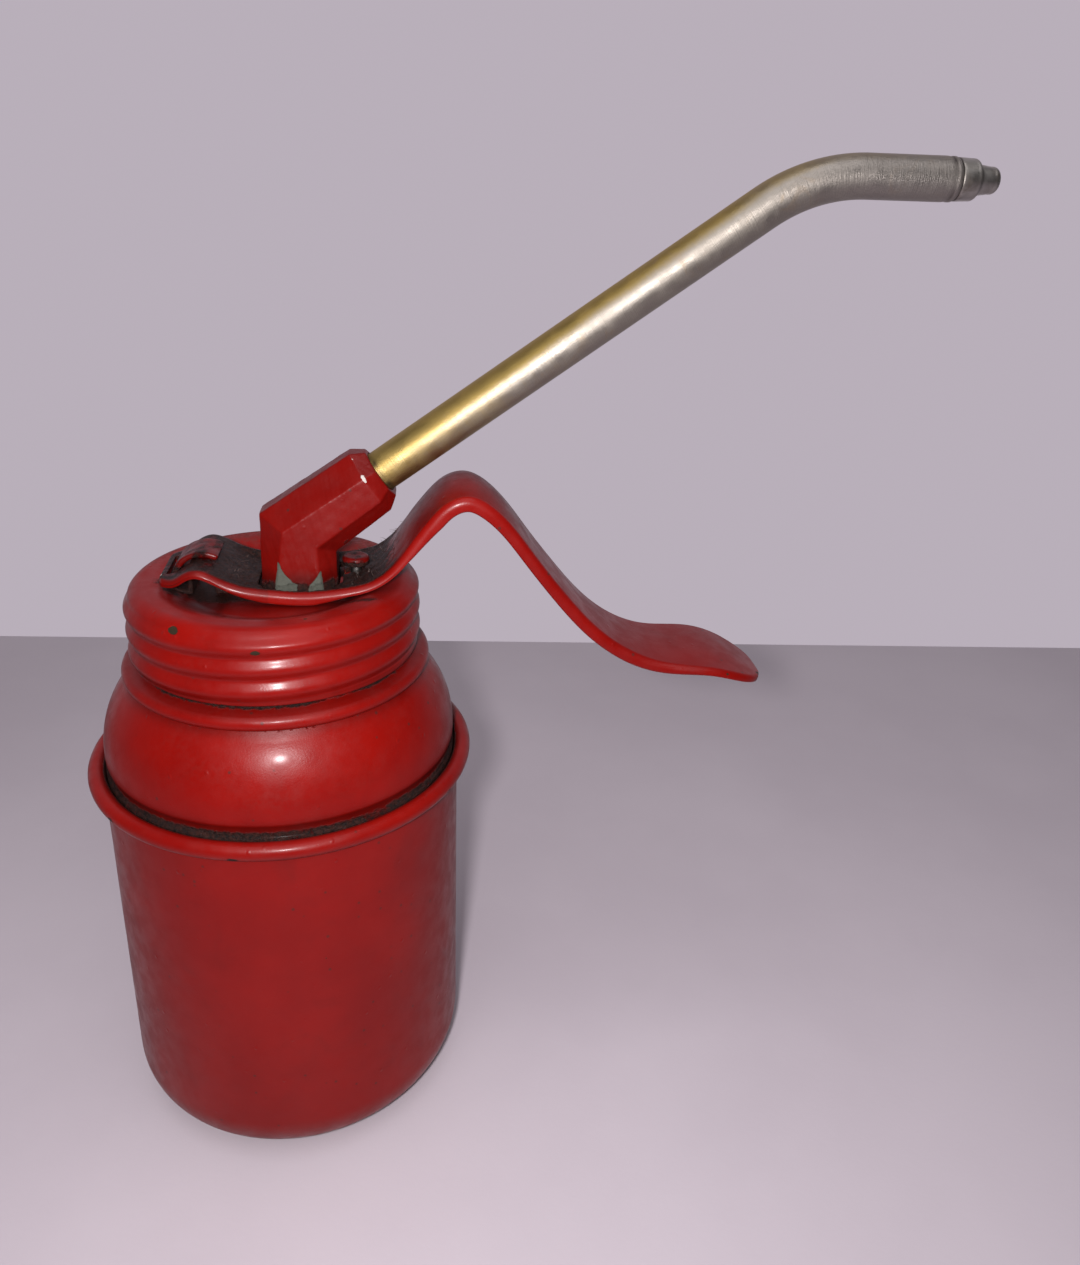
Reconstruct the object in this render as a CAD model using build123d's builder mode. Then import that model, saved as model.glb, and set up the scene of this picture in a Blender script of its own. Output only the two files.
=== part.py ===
from build123d import *
import os
from math import cos, radians, sin, sqrt

# Thumb-lever pump oil can. Millimetres, +Z up, origin at the centre of the flat base.
# The spout and the lever point along +X.

# ---------------------------------------------------------------- driving dimensions
sheet = 0.6                 # drawn steel of the cup, the shoulder and the screw cap

body_r = 35.0               # cup, outside
body_corner_r = 11.6        # cup's bottom corner, outside
bead_z = 78.2               # centre height of the rolled rim
bead_roll_r = 1.66          # outside radius of the roll

neck_r = 25.95              # neck inside the cap, outside
neck_top_z = 113.0
mouth_r = 21.8              # opening inside the neck's turned-in lip

pitch = 4.2                 # rolled thread of the cap
cap_crest_z = 103.4         # lowest thread crest of the cap
cap_r = 26.9                # cap skirt, outside, between the crests
cap_bottom_z = 101.7
cap_corner_r = 2.8
cap_crown_z = 116.0         # raised rim of the cap's top
floor_z = 113.4             # sunken centre of the cap's top
floor_r = 19.2

column_x = 5.2              # axis of the elbow's column
column_half = 7.1
column_chamfer = 2.8
elbow_z = 125.2             # where the column's axis meets the spout's axis
spout_angle = 35.2          # degrees above the horizontal
barrel_length = 19.0        # from that meeting point to the elbow's nose
stem_r = 4.75
stem_bottom_z = 98.0

tube_r = 3.9                # spout tube, outside
tube_wall = 0.7
socket_depth = 8.0
spout_top_z = 190.1         # axis of the spout's level end
spout_bend_r = 32.0
tube_end_x = 123.4
nozzle_end_x = 131.6

pivot_x = -12.5             # lever's hinge line, parallel to Y
pivot_z = 116.0
lever_sheet = 1.2
hump_r = 4.5                # lever's hump over the hinge line, outside
lever_gap = 0.3             # between the hump and the bracket, above and below
bracket_sheet = 1.0
bracket_half = 4.0

plunger_x = 15.5            # axis of the pump
rod_r = 1.6
head_neck_r = 2.4           # the pump's neck, through the cap
barrel_bore_r = 4.8
barrel_r = 5.5
barrel_bottom_z = 58.0
barrel_top_z = 105.5
fit = 0.04                  # radial clearance of a running or a pushed-in fit

foot_bottom_z = 48.0
foot_top_z = 62.0
foot_r = 6.1
riser_r = 2.78
inlet_ball_r = 2.5
outlet_ball_r = 2.0
suction_r = 2.5
suction_bottom_z = 5.0

# ---------------------------------------------------------------- derived values
slope = radians(spout_angle)
spout_plane = Plane(origin=(column_x, 0, elbow_z), x_dir=(0, 1, 0), z_dir=(cos(slope), 0, sin(slope)))
floor_under_z = floor_z - sheet
bead_r = body_r - sheet + bead_roll_r      # centre radius of the rolled rim


def on_spout(distance):
    """Plane across the spout's straight run, at a distance along it from the column's axis."""
    return spout_plane.offset(distance)


# ---------------------------------------------------------------- reservoir
# Drawn cup: flat base, well rounded corner, straight wall and an outward-rolled rim.
with BuildPart() as can_body:
    with BuildSketch(Plane.XZ):
        with BuildLine():
            inner_corner = body_corner_r - sheet
            Line((0, 0), (body_r - body_corner_r, 0))
            CenterArc((body_r - body_corner_r, body_corner_r), body_corner_r, -90, 90)
            Line((body_r, body_corner_r), (body_r, bead_z))
            inside = CenterArc((bead_r, bead_z), bead_roll_r - sheet, 180, -298)
            outside = CenterArc((bead_r, bead_z), bead_roll_r, 180, -298)
            Line(inside @ 1, outside @ 1)
            Line((body_r - sheet, bead_z), (body_r - sheet, body_corner_r))
            CenterArc((body_r - body_corner_r, body_corner_r), inner_corner, 0, -90)
            Line((body_r - body_corner_r, sheet), (0, sheet))
            Line((0, sheet), (0, 0))
        make_face()
    revolve(axis=Axis.Z)
can_body.part.label = "can_body"

# Drawn shoulder: skirt inside the cup's rim, domed side, a rolled ring below the cap,
# and the neck with its lip turned in as the gasket's seat.
with BuildPart() as shoulder:
    with BuildSketch(Plane.XZ):
        with BuildLine():
            Line((34.25, 71.5), (34.25, 79.3))
            ThreePointArc((34.25, 79.3), (33.7, 80.5), (34.1, 81.9))
            ThreePointArc((34.1, 81.9), (33.0, 89.9), (29.5, 96.0))
            Line((29.5, 96.0), (28.3, 97.7))
            ThreePointArc((28.3, 97.7), (29.3, 99.3), (28.1, 100.6))
            Line((28.1, 100.6), (26.7, 101.0))
            ThreePointArc((26.7, 101.0), (26.2, 101.3), (neck_r, 101.9))
            Line((neck_r, 101.9), (neck_r, neck_top_z))
            Line((neck_r, neck_top_z), (mouth_r, neck_top_z))
            offset(amount=sheet, side=Side.LEFT)
        make_face()
    revolve(axis=Axis.Z)
shoulder.part.label = "shoulder"

# ---------------------------------------------------------------- screw cap
# Drawn cap: skirt with rolled thread crests, rounded corner, raised rim and sunken centre.
crests = [cap_crest_z + i * pitch for i in range(3)]
crest_half = 1.35           # half height of a crest
crest_out = 0.75            # how far a crest stands out of the skirt
with BuildPart() as cap:
    with BuildSketch(Plane.XZ):
        with BuildLine():
            corner_x = cap_r - cap_corner_r
            corner_z = cap_crown_z - cap_corner_r
            start = (cap_r, cap_bottom_z)
            for crest_z in crests:
                Line(start, (cap_r, crest_z - crest_half))
                start = (cap_r, crest_z + crest_half)
                ThreePointArc((cap_r, crest_z - crest_half), (cap_r + crest_out, crest_z), start)
            Line(start, (cap_r, corner_z))
            CenterArc((corner_x, corner_z), cap_corner_r, 0, 90)
            Line((corner_x, cap_crown_z), (21.8, cap_crown_z))
            ThreePointArc((21.8, cap_crown_z), (20.9, 115.6), (20.3, 114.5))
            ThreePointArc((20.3, 114.5), (19.9, 113.7), (floor_r, floor_z))
            Line((floor_r, floor_z), (0, floor_z))
            Line((0, floor_z), (0, floor_under_z))
            Line((0, floor_under_z), (19.6, floor_under_z))
            ThreePointArc((19.6, floor_under_z), (20.45, 113.3), (20.85, 114.3))
            ThreePointArc((20.85, 114.3), (21.2, 115.1), (21.9, cap_crown_z - sheet))
            Line((21.9, cap_crown_z - sheet), (corner_x, cap_crown_z - sheet))
            CenterArc((corner_x, corner_z), cap_corner_r - sheet, 90, -90)
            start = (cap_r - sheet, corner_z)
            for crest_z in reversed(crests):
                Line(start, (cap_r - sheet, crest_z + crest_half))
                start = (cap_r - sheet, crest_z - crest_half)
                ThreePointArc((cap_r - sheet, crest_z + crest_half),
                              (cap_r + crest_out - sheet, crest_z), start)
            Line(start, (cap_r - sheet, cap_bottom_z))
            Line((cap_r - sheet, cap_bottom_z), (cap_r, cap_bottom_z))
        make_face()
    revolve(axis=Axis.Z)
    # holes for the elbow's stem and for the pump's neck
    with Locations((column_x, 0, floor_z)):
        Hole(stem_r + 0.1, depth=2)
    with Locations((plunger_x, 0, floor_z)):
        Hole(head_neck_r + 0.1, depth=2)
cap.part.label = "cap"

with BuildPart() as cap_gasket:
    with BuildSketch(Plane.XY.offset(neck_top_z)):
        Circle(23.7)
        Circle(21.95, mode=Mode.SUBTRACT)
    extrude(amount=2.3)
cap_gasket.part.label = "cap_gasket"

# Strip bracket welded to the cap's floor. Its rib carries the lever's hump from below,
# and its end rises through the lever's slot and hooks over the hump.
rib_r = hump_r - lever_sheet - lever_gap - bracket_sheet / 2
hook_r = hump_r + lever_gap + bracket_sheet / 2
with BuildPart() as hinge_bracket:
    with BuildSketch(Plane.XZ):
        with BuildLine():
            foot_z = floor_z + bracket_sheet / 2
            Line((pivot_x + 4.6, foot_z), (pivot_x + rib_r, foot_z))
            Line((pivot_x + rib_r, foot_z), (pivot_x + rib_r, pivot_z))
            CenterArc((pivot_x, pivot_z), rib_r, 0, 180)
            Line((pivot_x - rib_r, pivot_z), (pivot_x - rib_r, foot_z))
            Line((pivot_x - rib_r, foot_z), (pivot_x - hook_r, foot_z))
            Line((pivot_x - hook_r, foot_z), (pivot_x - hook_r, pivot_z))
            CenterArc((pivot_x, pivot_z), hook_r, 180, -122)
        trace(line_width=bracket_sheet)
    extrude(amount=bracket_half, both=True)
hinge_bracket.part.label = "hinge_bracket"

# ---------------------------------------------------------------- thumb lever
# Stamped strip. Its edges turn up as far as the arch, which leaves a channel, and turn down
# from the arch to the thumb end. Its side view, along the top of the edges.
lever_side = [
    (-20.0, 117.9), (-17.3, 118.2), (-15.2, 119.6), (pivot_x, pivot_z + hump_r), (-9.8, 119.6),
    (-6.5, 117.9), (0.0, 116.5), (6.0, 116.0), (13.0, 116.5), (18.6, 117.7), (22.4, 120.2),
    (26.3, 124.9), (29.8, 129.4), (33.0, 132.4), (36.8, 133.4), (40.6, 131.7), (48.7, 122.7),
    (55.7, 113.6), (62.7, 106.1), (69.0, 101.8), (75.4, 99.5), (85.7, 98.3), (92.0, 96.4), (98.2, 93.6),
]
# Its plan: half widths along X, with a rounded tail and a rounded thumb end.
lever_plan = [
    (-20.0, 7.0), (-16.5, 9.6), (-8.0, 10.8), (16.0, 10.8), (25.0, 10.0), (35.0, 9.5),
    (52.0, 9.2), (64.0, 9.2), (76.0, 10.3), (86.0, 11.2), (93.0, 9.8), (97.0, 6.0), (98.2, 0.0),
]
lever_samples = 48
arch_x = 30.0                # where the turned edges change from up to down
lever_top = Spline(*lever_side)
lever_outline = Spline(*lever_plan)


def rail_depth(x):
    """Depth of the lever's edge below its top: shallow at the hump and where it crosses the cap's rim."""
    if x < -9.5:
        return lever_sheet
    if x < 8:
        return min(2.35, lever_sheet + (x + 9.5) * 0.13)
    if x < 15:
        return 2.35 - (x - 8) * 0.14
    if x < 24:
        return 1.37
    return min(2.4, 1.37 + (x - 24) * 0.17)


def channel_depth(x):
    """Depth of the lever's sunken middle."""
    return rail_depth(x) - lever_sheet


def strip_depth(x):
    return lever_sheet


def clear_depth(x):
    return rail_depth(x) + 1.5


def above_depth(x):
    return -1.5


def below(depth):
    """Points below the lever's top line, each at depth(x) square to it."""
    points = []
    for i in range(lever_samples + 1):
        along = i / lever_samples
        point = lever_top @ along
        tangent = lever_top % along
        drop = depth(point.X)
        points.append((point.X + tangent.Y * drop, point.Y - tangent.X * drop))
    return points


def inset(amount):
    """The lever's half outline, drawn in by an amount."""
    points = []
    for i in range(lever_samples + 1):
        along = i / lever_samples
        point = lever_outline @ along
        tangent = lever_outline % along
        points.append((point.X + tangent.Y * amount, max(0, point.Y - tangent.X * amount)))
    return points


# the channel between the turned-up edges
with BuildPart() as lever_channel:
    with BuildSketch(Plane.XZ):
        with BuildLine():
            channel_floor = Spline(*below(channel_depth))
            channel_top = Spline(*below(above_depth))
            Line(channel_floor @ 0, channel_top @ 0)
            Line(channel_floor @ 1, channel_top @ 1)
        make_face()
    extrude(amount=15, both=True)
    with BuildSketch(Plane.XY.offset(85)):
        with BuildLine():
            edge = Spline(*[point for point in inset(lever_sheet) if -8.5 < point[0] < arch_x - 4])
            Line(edge @ 0, ((edge @ 0).X, 0))
            Line(((edge @ 0).X, 0), ((edge @ 1).X, 0))
            Line(((edge @ 1).X, 0), edge @ 1)
        make_face()
        mirror(about=Plane.XZ)
    extrude(amount=60, mode=Mode.INTERSECT)

# the hollow under the arch and the thumb plate, between the turned-down edges
with BuildPart() as lever_hollow:
    with BuildSketch(Plane.XZ):
        with BuildLine():
            hollow_top = Spline(*below(strip_depth))
            hollow_bottom = Spline(*below(clear_depth))
            Line(hollow_top @ 0, hollow_bottom @ 0)
            Line(hollow_top @ 1, hollow_bottom @ 1)
        make_face()
    extrude(amount=15, both=True)
    with BuildSketch(Plane.XY.offset(85)):
        with BuildLine():
            edge = Spline(*[point for point in inset(lever_sheet) if arch_x + 3 < point[0] < 92])
            Line(edge @ 0, ((edge @ 0).X, 0))
            Line(((edge @ 0).X, 0), ((edge @ 1).X, 0))
            Line(((edge @ 1).X, 0), edge @ 1)
        make_face()
        mirror(about=Plane.XZ)
    extrude(amount=60, mode=Mode.INTERSECT)

with BuildPart() as lever:
    with BuildSketch(Plane.XZ):
        with BuildLine():
            upper = Spline(*lever_side)
            lower = Spline(*below(rail_depth))
            Line(upper @ 0, lower @ 0)
            Line(upper @ 1, lower @ 1)
        make_face()
    extrude(amount=15, both=True)
    with BuildSketch(Plane.XY.offset(85)):
        with BuildLine():
            Spline(*lever_plan)
            Line(lever_plan[0], (lever_plan[0][0], 0))
            Line((lever_plan[0][0], 0), lever_plan[-1])
        make_face()
        mirror(about=Plane.XZ)
    extrude(amount=60, mode=Mode.INTERSECT)
    add(lever_channel.part, mode=Mode.SUBTRACT)
    add(lever_hollow.part, mode=Mode.SUBTRACT)
    # hole round the elbow's column
    with BuildSketch(Plane.XY.offset(105)) as column_hole:
        with Locations((column_x + 0.1, 0)):
            Rectangle(2 * column_half + 1.6, 2 * column_half + 1.4)
        chamfer(column_hole.vertices(), length=column_chamfer - 0.2)
    extrude(amount=20, mode=Mode.SUBTRACT)
    # slots for the bracket's riser and, open to the column's hole, for the plunger's neck
    with BuildSketch(Plane.XY.offset(105)):
        with Locations((pivot_x - hook_r + 1.1, 0)):
            Rectangle(4.4, 2 * bracket_half + 1.2)
        with Locations((plunger_x - 1.5, 0)):
            SlotOverall(6.8, 3.2)
    extrude(amount=20, mode=Mode.SUBTRACT)
lever.part.label = "lever"

# ---------------------------------------------------------------- elbow and spout
# Cast elbow: a chamfered square column and an eight-sided barrel that tapers to its nose.
barrel_section = [
    (2.1, 6.9), (6.9, 2.2), (6.9, -3.4), (3.4, -6.9),
    (-3.4, -6.9), (-6.9, -3.4), (-6.9, 2.2), (-2.1, 6.9),
]
roof_section = [
    (2.1, 6.9), (7.4, 1.7), (7.4, -40), (-7.4, -40), (-7.4, 1.7), (-2.1, 6.9),
]
nose_chamfer = 2.4

with BuildPart() as barrel_blank:
    with BuildSketch(on_spout(-1)):
        Polygon(*barrel_section, align=None)
    with BuildSketch(on_spout(barrel_length - nose_chamfer)):
        Polygon(*[(x * 0.93, y * 0.93) for x, y in barrel_section], align=None)
    loft(ruled=True)
    with BuildSketch(on_spout(barrel_length - nose_chamfer)):
        Polygon(*[(x * 0.93, y * 0.93) for x, y in barrel_section], align=None)
    with BuildSketch(on_spout(barrel_length)):
        Polygon(*[(x * 0.68, y * 0.68) for x, y in barrel_section], align=None)
    loft(ruled=True)

with BuildPart() as elbow:
    with BuildSketch(Plane.XY.offset(floor_z)) as column:
        with Locations((column_x, 0)):
            Rectangle(2 * column_half, 2 * column_half)
        chamfer(column.vertices(), length=column_chamfer)
    extrude(amount=30)
    with BuildSketch(on_spout(-20)):
        Polygon(*roof_section, align=None)
    extrude(amount=40, mode=Mode.INTERSECT)
    add(barrel_blank.part)
    with BuildSketch(Plane.XY.offset(stem_bottom_z)):
        with Locations((column_x, 0)):
            Circle(stem_r)
    extrude(amount=floor_z - stem_bottom_z)
    # valve chamber in the stem, then the oil's way up and out
    with BuildSketch(Plane.XY.offset(stem_bottom_z)):
        with Locations((column_x, 0)):
            Circle(riser_r + fit / 2)
    extrude(amount=floor_z - stem_bottom_z, mode=Mode.SUBTRACT)
    with BuildSketch(Plane.XY.offset(stem_bottom_z)):
        with Locations((column_x, 0)):
            Circle(2.1)
    extrude(amount=elbow_z + 1.5 - stem_bottom_z, mode=Mode.SUBTRACT)
    with BuildSketch(on_spout(0)):
        Circle(1.9)
    extrude(amount=barrel_length - 1, mode=Mode.SUBTRACT)
    with BuildSketch(on_spout(barrel_length - socket_depth)):
        Circle(tube_r + fit / 2)
    extrude(amount=socket_depth + 1, mode=Mode.SUBTRACT)
elbow.part.label = "elbow"

rise = spout_top_z - elbow_z
bend_x = column_x + rise / sin(slope) * cos(slope)
with BuildLine() as spout_route:
    FilletPolyline(
        on_spout(barrel_length - socket_depth + 0.1).origin,
        (bend_x, 0, spout_top_z),
        (tube_end_x, 0, spout_top_z),
        radius=spout_bend_r,
    )
with BuildPart() as spout_tube:
    with BuildSketch(on_spout(barrel_length - socket_depth + 0.1)):
        Circle(tube_r)
        Circle(tube_r - tube_wall, mode=Mode.SUBTRACT)
    sweep(path=spout_route.line)
spout_tube.part.label = "spout_tube"

# Turned nozzle: a spigot inside the tube, a collar of the tube's size and a slim tip.
with BuildPart() as spout_nozzle:
    with BuildSketch(Plane.XZ):
        with BuildLine():
            spigot_r = tube_r - tube_wall - fit / 2
            Polyline(
                (tube_end_x - 5, spout_top_z + 0.9), (tube_end_x - 5, spout_top_z + spigot_r),
                (tube_end_x + 0.05, spout_top_z + spigot_r), (tube_end_x + 0.05, spout_top_z + 3.7),
                (tube_end_x + 3.6, spout_top_z + 3.6), (tube_end_x + 4.3, spout_top_z + 2.7),
                (nozzle_end_x - 1.2, spout_top_z + 2.3), (nozzle_end_x, spout_top_z + 1.6),
                (nozzle_end_x, spout_top_z + 0.9), (tube_end_x - 5, spout_top_z + 0.9),
            )
        make_face()
    revolve(axis=Axis((0, 0, spout_top_z), (1, 0, 0)))
spout_nozzle.part.label = "spout_nozzle"

# ---------------------------------------------------------------- under the cap
with BuildPart() as head_gasket:
    with BuildSketch(Plane.XY.offset(floor_under_z - 1.0)):
        with Locations((column_x, 0)):
            Circle(6.3)
            Circle(stem_r + fit, mode=Mode.SUBTRACT)
    extrude(amount=1.0)
head_gasket.part.label = "head_gasket"

with BuildPart() as pump_locknut:
    with BuildSketch(Plane.XY.offset(floor_under_z - 5.0)):
        with Locations((column_x, 0)):
            RegularPolygon(6.5, 6, major_radius=False, rotation=30)
            Circle(stem_r + fit, mode=Mode.SUBTRACT)
    extrude(amount=4.0)
pump_locknut.part.label = "pump_locknut"

# Outlet valve in the stem: seat, ball and spring.
seat_top_z = stem_bottom_z + 5.0
outlet_ball_z = seat_top_z + sqrt(outlet_ball_r**2 - 1.4**2) + 0.02
with BuildPart() as outlet_seat:
    with BuildSketch(Plane.XY.offset(seat_top_z - 2.0)):
        with Locations((column_x, 0)):
            Circle(riser_r)
            Circle(1.4, mode=Mode.SUBTRACT)
    extrude(amount=2.0)
outlet_seat.part.label = "outlet_seat"

with BuildPart() as outlet_ball:
    with Locations((column_x, 0, outlet_ball_z)):
        Sphere(outlet_ball_r)
outlet_ball.part.label = "outlet_ball"


def coil_path(x, radius, bottom, top, turns):
    """Helix of a compression spring on a vertical axis at x."""
    return Helix((top - bottom) / turns, top - bottom, radius, center=(x, 0, bottom))


outlet_spring_wire_r = 0.25
with BuildPart() as outlet_spring:
    with BuildLine() as outlet_coil:
        spring_bottom = outlet_ball_z + outlet_ball_r + outlet_spring_wire_r + 0.05
        coil_path(column_x, 1.9, spring_bottom, floor_z - outlet_spring_wire_r - 0.05, 5)
    with BuildSketch(Plane(outlet_coil.line @ 0, x_dir=(1, 0, 0), z_dir=outlet_coil.line % 0)):
        Circle(outlet_spring_wire_r)
    sweep(path=outlet_coil.line, is_frenet=True)
outlet_spring.part.label = "outlet_spring"

riser_bottom_z = 56.0
with BuildPart() as riser_tube:
    with BuildSketch(Plane.XY.offset(riser_bottom_z)):
        with Locations((column_x, 0)):
            Circle(riser_r)
            Circle(riser_r - 0.7, mode=Mode.SUBTRACT)
    extrude(amount=seat_top_z - 2.0 - riser_bottom_z)
riser_tube.part.label = "riser_tube"

# ---------------------------------------------------------------- pump
with BuildPart() as pump_barrel:
    with BuildSketch(Plane.XY.offset(barrel_bottom_z)):
        with Locations((plunger_x, 0)):
            Circle(barrel_r)
            Circle(barrel_bore_r, mode=Mode.SUBTRACT)
    extrude(amount=barrel_top_z - barrel_bottom_z)
pump_barrel.part.label = "pump_barrel"

# Head: plugs the barrel, guides the rod and passes up through the cap.
packing_r = 3.0
nut_height = 0.8
with BuildPart() as barrel_head:
    with BuildSketch(Plane.XY.offset(barrel_top_z - 6)):
        with Locations((plunger_x, 0)):
            Circle(barrel_bore_r - fit / 2)
    extrude(amount=6)
    with BuildSketch(Plane.XY.offset(barrel_top_z)):
        with Locations((plunger_x, 0)):
            Circle(barrel_r)
    extrude(amount=2)
    with BuildSketch(Plane.XY.offset(barrel_top_z + 2)):
        with Locations((plunger_x, 0)):
            Circle(head_neck_r)
    extrude(amount=floor_z + nut_height - barrel_top_z - 2)
    with Locations((plunger_x, 0, floor_z + nut_height)):
        Hole(rod_r + fit)
    with BuildSketch(Plane.XY.offset(barrel_top_z - 6)):
        with Locations((plunger_x, 0)):
            Circle(packing_r + fit / 2)
    extrude(amount=4, mode=Mode.SUBTRACT)
barrel_head.part.label = "barrel_head"

with BuildPart() as rod_packing:
    with BuildSketch(Plane.XY.offset(barrel_top_z - 6)):
        with Locations((plunger_x, 0)):
            Circle(packing_r)
            Circle(rod_r + fit, mode=Mode.SUBTRACT)
    extrude(amount=4)
rod_packing.part.label = "rod_packing"

with BuildPart() as barrel_nut:
    with BuildSketch(Plane.XY.offset(floor_z)):
        with Locations((plunger_x, 0)):
            RegularPolygon(3.1, 6, major_radius=False, rotation=30)
            Circle(head_neck_r + fit, mode=Mode.SUBTRACT)
    extrude(amount=nut_height)
barrel_nut.part.label = "barrel_nut"

# Plunger: rod with its collar under the lever, a riveted button above the lever,
# and a leather cup held between a washer and a nut.
collar_r = 2.2
collar_z = floor_z + nut_height + 0.05
collar_top_z = collar_z + 0.4
button_z = 117.8
neck_rod_r = 1.1
cup_top_z = 82.0
thread_end_z = 75.0
thread_r = 1.3
with BuildPart() as plunger_rod:
    with BuildSketch(Plane.XZ):
        with BuildLine():
            Polyline(
                (plunger_x, thread_end_z), (plunger_x + thread_r, thread_end_z),
                (plunger_x + thread_r, cup_top_z), (plunger_x + rod_r, cup_top_z),
                (plunger_x + rod_r, collar_z), (plunger_x + collar_r, collar_z),
                (plunger_x + collar_r, collar_top_z), (plunger_x + neck_rod_r, collar_top_z),
                (plunger_x + neck_rod_r, button_z + 1.1), (plunger_x, button_z + 1.1),
                (plunger_x, thread_end_z),
            )
        make_face()
    revolve(axis=Axis((plunger_x, 0, 0), (0, 0, 1)))
plunger_rod.part.label = "plunger_rod"

with BuildPart() as plunger_button:
    with BuildSketch(Plane.XY.offset(button_z)):
        with Locations((plunger_x, 0)):
            Circle(2.6)
    extrude(amount=1.7)
    fillet(plunger_button.edges().group_by(Axis.Z)[-1], radius=0.7)
    with Locations((plunger_x, 0, button_z)):
        Cylinder(neck_rod_r + fit / 2, 1.12, align=(Align.CENTER, Align.CENTER, Align.MIN), mode=Mode.SUBTRACT)
plunger_button.part.label = "plunger_button"

with BuildPart() as cup_washer:
    with BuildSketch(Plane.XY.offset(cup_top_z - 1.0)):
        with Locations((plunger_x, 0)):
            Circle(4.2)
            Circle(thread_r + fit / 2, mode=Mode.SUBTRACT)
    extrude(amount=1.0)
cup_washer.part.label = "cup_washer"

cup_bottom_z = 77.2
with BuildPart() as plunger_cup:
    with BuildSketch(Plane.XY.offset(cup_bottom_z)):
        with Locations((plunger_x, 0)):
            Circle(barrel_bore_r - 0.06)
            Circle(thread_r + fit / 2, mode=Mode.SUBTRACT)
    extrude(amount=cup_top_z - 1.0 - cup_bottom_z)
    with BuildSketch(Plane.XY.offset(cup_bottom_z)):
        with Locations((plunger_x, 0)):
            Circle(barrel_bore_r - 0.9)
            Circle(3.0, mode=Mode.SUBTRACT)
    extrude(amount=2.2, mode=Mode.SUBTRACT)
plunger_cup.part.label = "plunger_cup"

with BuildPart() as plunger_nut:
    with BuildSketch(Plane.XY.offset(cup_bottom_z - 1.9)):
        with Locations((plunger_x, 0)):
            RegularPolygon(2.9, 6, major_radius=False)
            Circle(thread_r + fit / 2, mode=Mode.SUBTRACT)
    extrude(amount=1.9)
plunger_nut.part.label = "plunger_nut"

spring_wire_r = 0.4
with BuildPart() as plunger_spring:
    with BuildLine() as coil:
        spring_foot_z = barrel_bottom_z + spring_wire_r + 0.03
        coil_path(plunger_x, 4.1, spring_foot_z, cup_bottom_z - spring_wire_r - 0.1, 7)
    with BuildSketch(Plane(coil.line @ 0, x_dir=(1, 0, 0), z_dir=coil.line % 0)):
        Circle(spring_wire_r)
    sweep(path=coil.line, is_frenet=True)
plunger_spring.part.label = "plunger_spring"

# Foot: joins the barrel to the riser and carries the inlet valve.
seat_z = 51.0
chamber_r = 3.5
inlet_ball_z = seat_z + sqrt(inlet_ball_r**2 - 1.6**2) + 0.02
passage_z = 54.2
passage_r = 1.5
foot_left = column_x - 4.6
with BuildPart() as pump_foot:
    with BuildSketch(Plane.XY.offset(foot_bottom_z)):
        with Locations((plunger_x, 0)):
            Circle(foot_r)
        with Locations((column_x, 0)):
            Circle(4.6)
        with Locations(((plunger_x + column_x) / 2, 0)):
            Rectangle(plunger_x - column_x, 8.4)
    extrude(amount=foot_top_z - foot_bottom_z)
    with BuildSketch(Plane.XY.offset(barrel_bottom_z)):
        with Locations((plunger_x, 0)):
            Circle(barrel_r + fit / 2)
    extrude(amount=foot_top_z - barrel_bottom_z, mode=Mode.SUBTRACT)
    with BuildSketch(Plane.XY.offset(foot_bottom_z)):
        with Locations((plunger_x, 0)):
            Circle(chamber_r)
    extrude(amount=barrel_bottom_z - foot_bottom_z, mode=Mode.SUBTRACT)
    with BuildSketch(Plane.XY.offset(riser_bottom_z)):
        with Locations((column_x, 0)):
            Circle(riser_r + fit / 2)
    extrude(amount=foot_top_z - riser_bottom_z, mode=Mode.SUBTRACT)
    with BuildSketch(Plane.XY.offset(passage_z)):
        with Locations((column_x, 0)):
            Circle(passage_r)
    extrude(amount=riser_bottom_z - passage_z, mode=Mode.SUBTRACT)
    with BuildSketch(Plane.YZ.offset(foot_left)):
        with Locations((0, passage_z)):
            Circle(passage_r)
    extrude(amount=plunger_x - foot_left, mode=Mode.SUBTRACT)
    with BuildSketch(Plane.XZ.offset(-foot_r)):
        with Locations((plunger_x, 56.95)):
            Circle(0.5)
    extrude(amount=2 * foot_r, mode=Mode.SUBTRACT)
pump_foot.part.label = "pump_foot"

with BuildPart() as passage_plug:
    with BuildSketch(Plane.YZ.offset(foot_left - 0.9)):
        with Locations((0, passage_z)):
            Circle(2.4)
    extrude(amount=0.9)
    with BuildSketch(Plane.YZ.offset(foot_left)):
        with Locations((0, passage_z)):
            Circle(passage_r - fit / 2)
    extrude(amount=2.4)
passage_plug.part.label = "passage_plug"

with BuildPart() as ball_stop_pin:
    with BuildSketch(Plane.XZ.offset(-5.6)):
        with Locations((plunger_x, 56.95)):
            Circle(0.48)
    extrude(amount=11.2)
ball_stop_pin.part.label = "ball_stop_pin"

with BuildPart() as inlet_ball:
    with Locations((plunger_x, 0, inlet_ball_z)):
        Sphere(inlet_ball_r)
inlet_ball.part.label = "inlet_ball"

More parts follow.
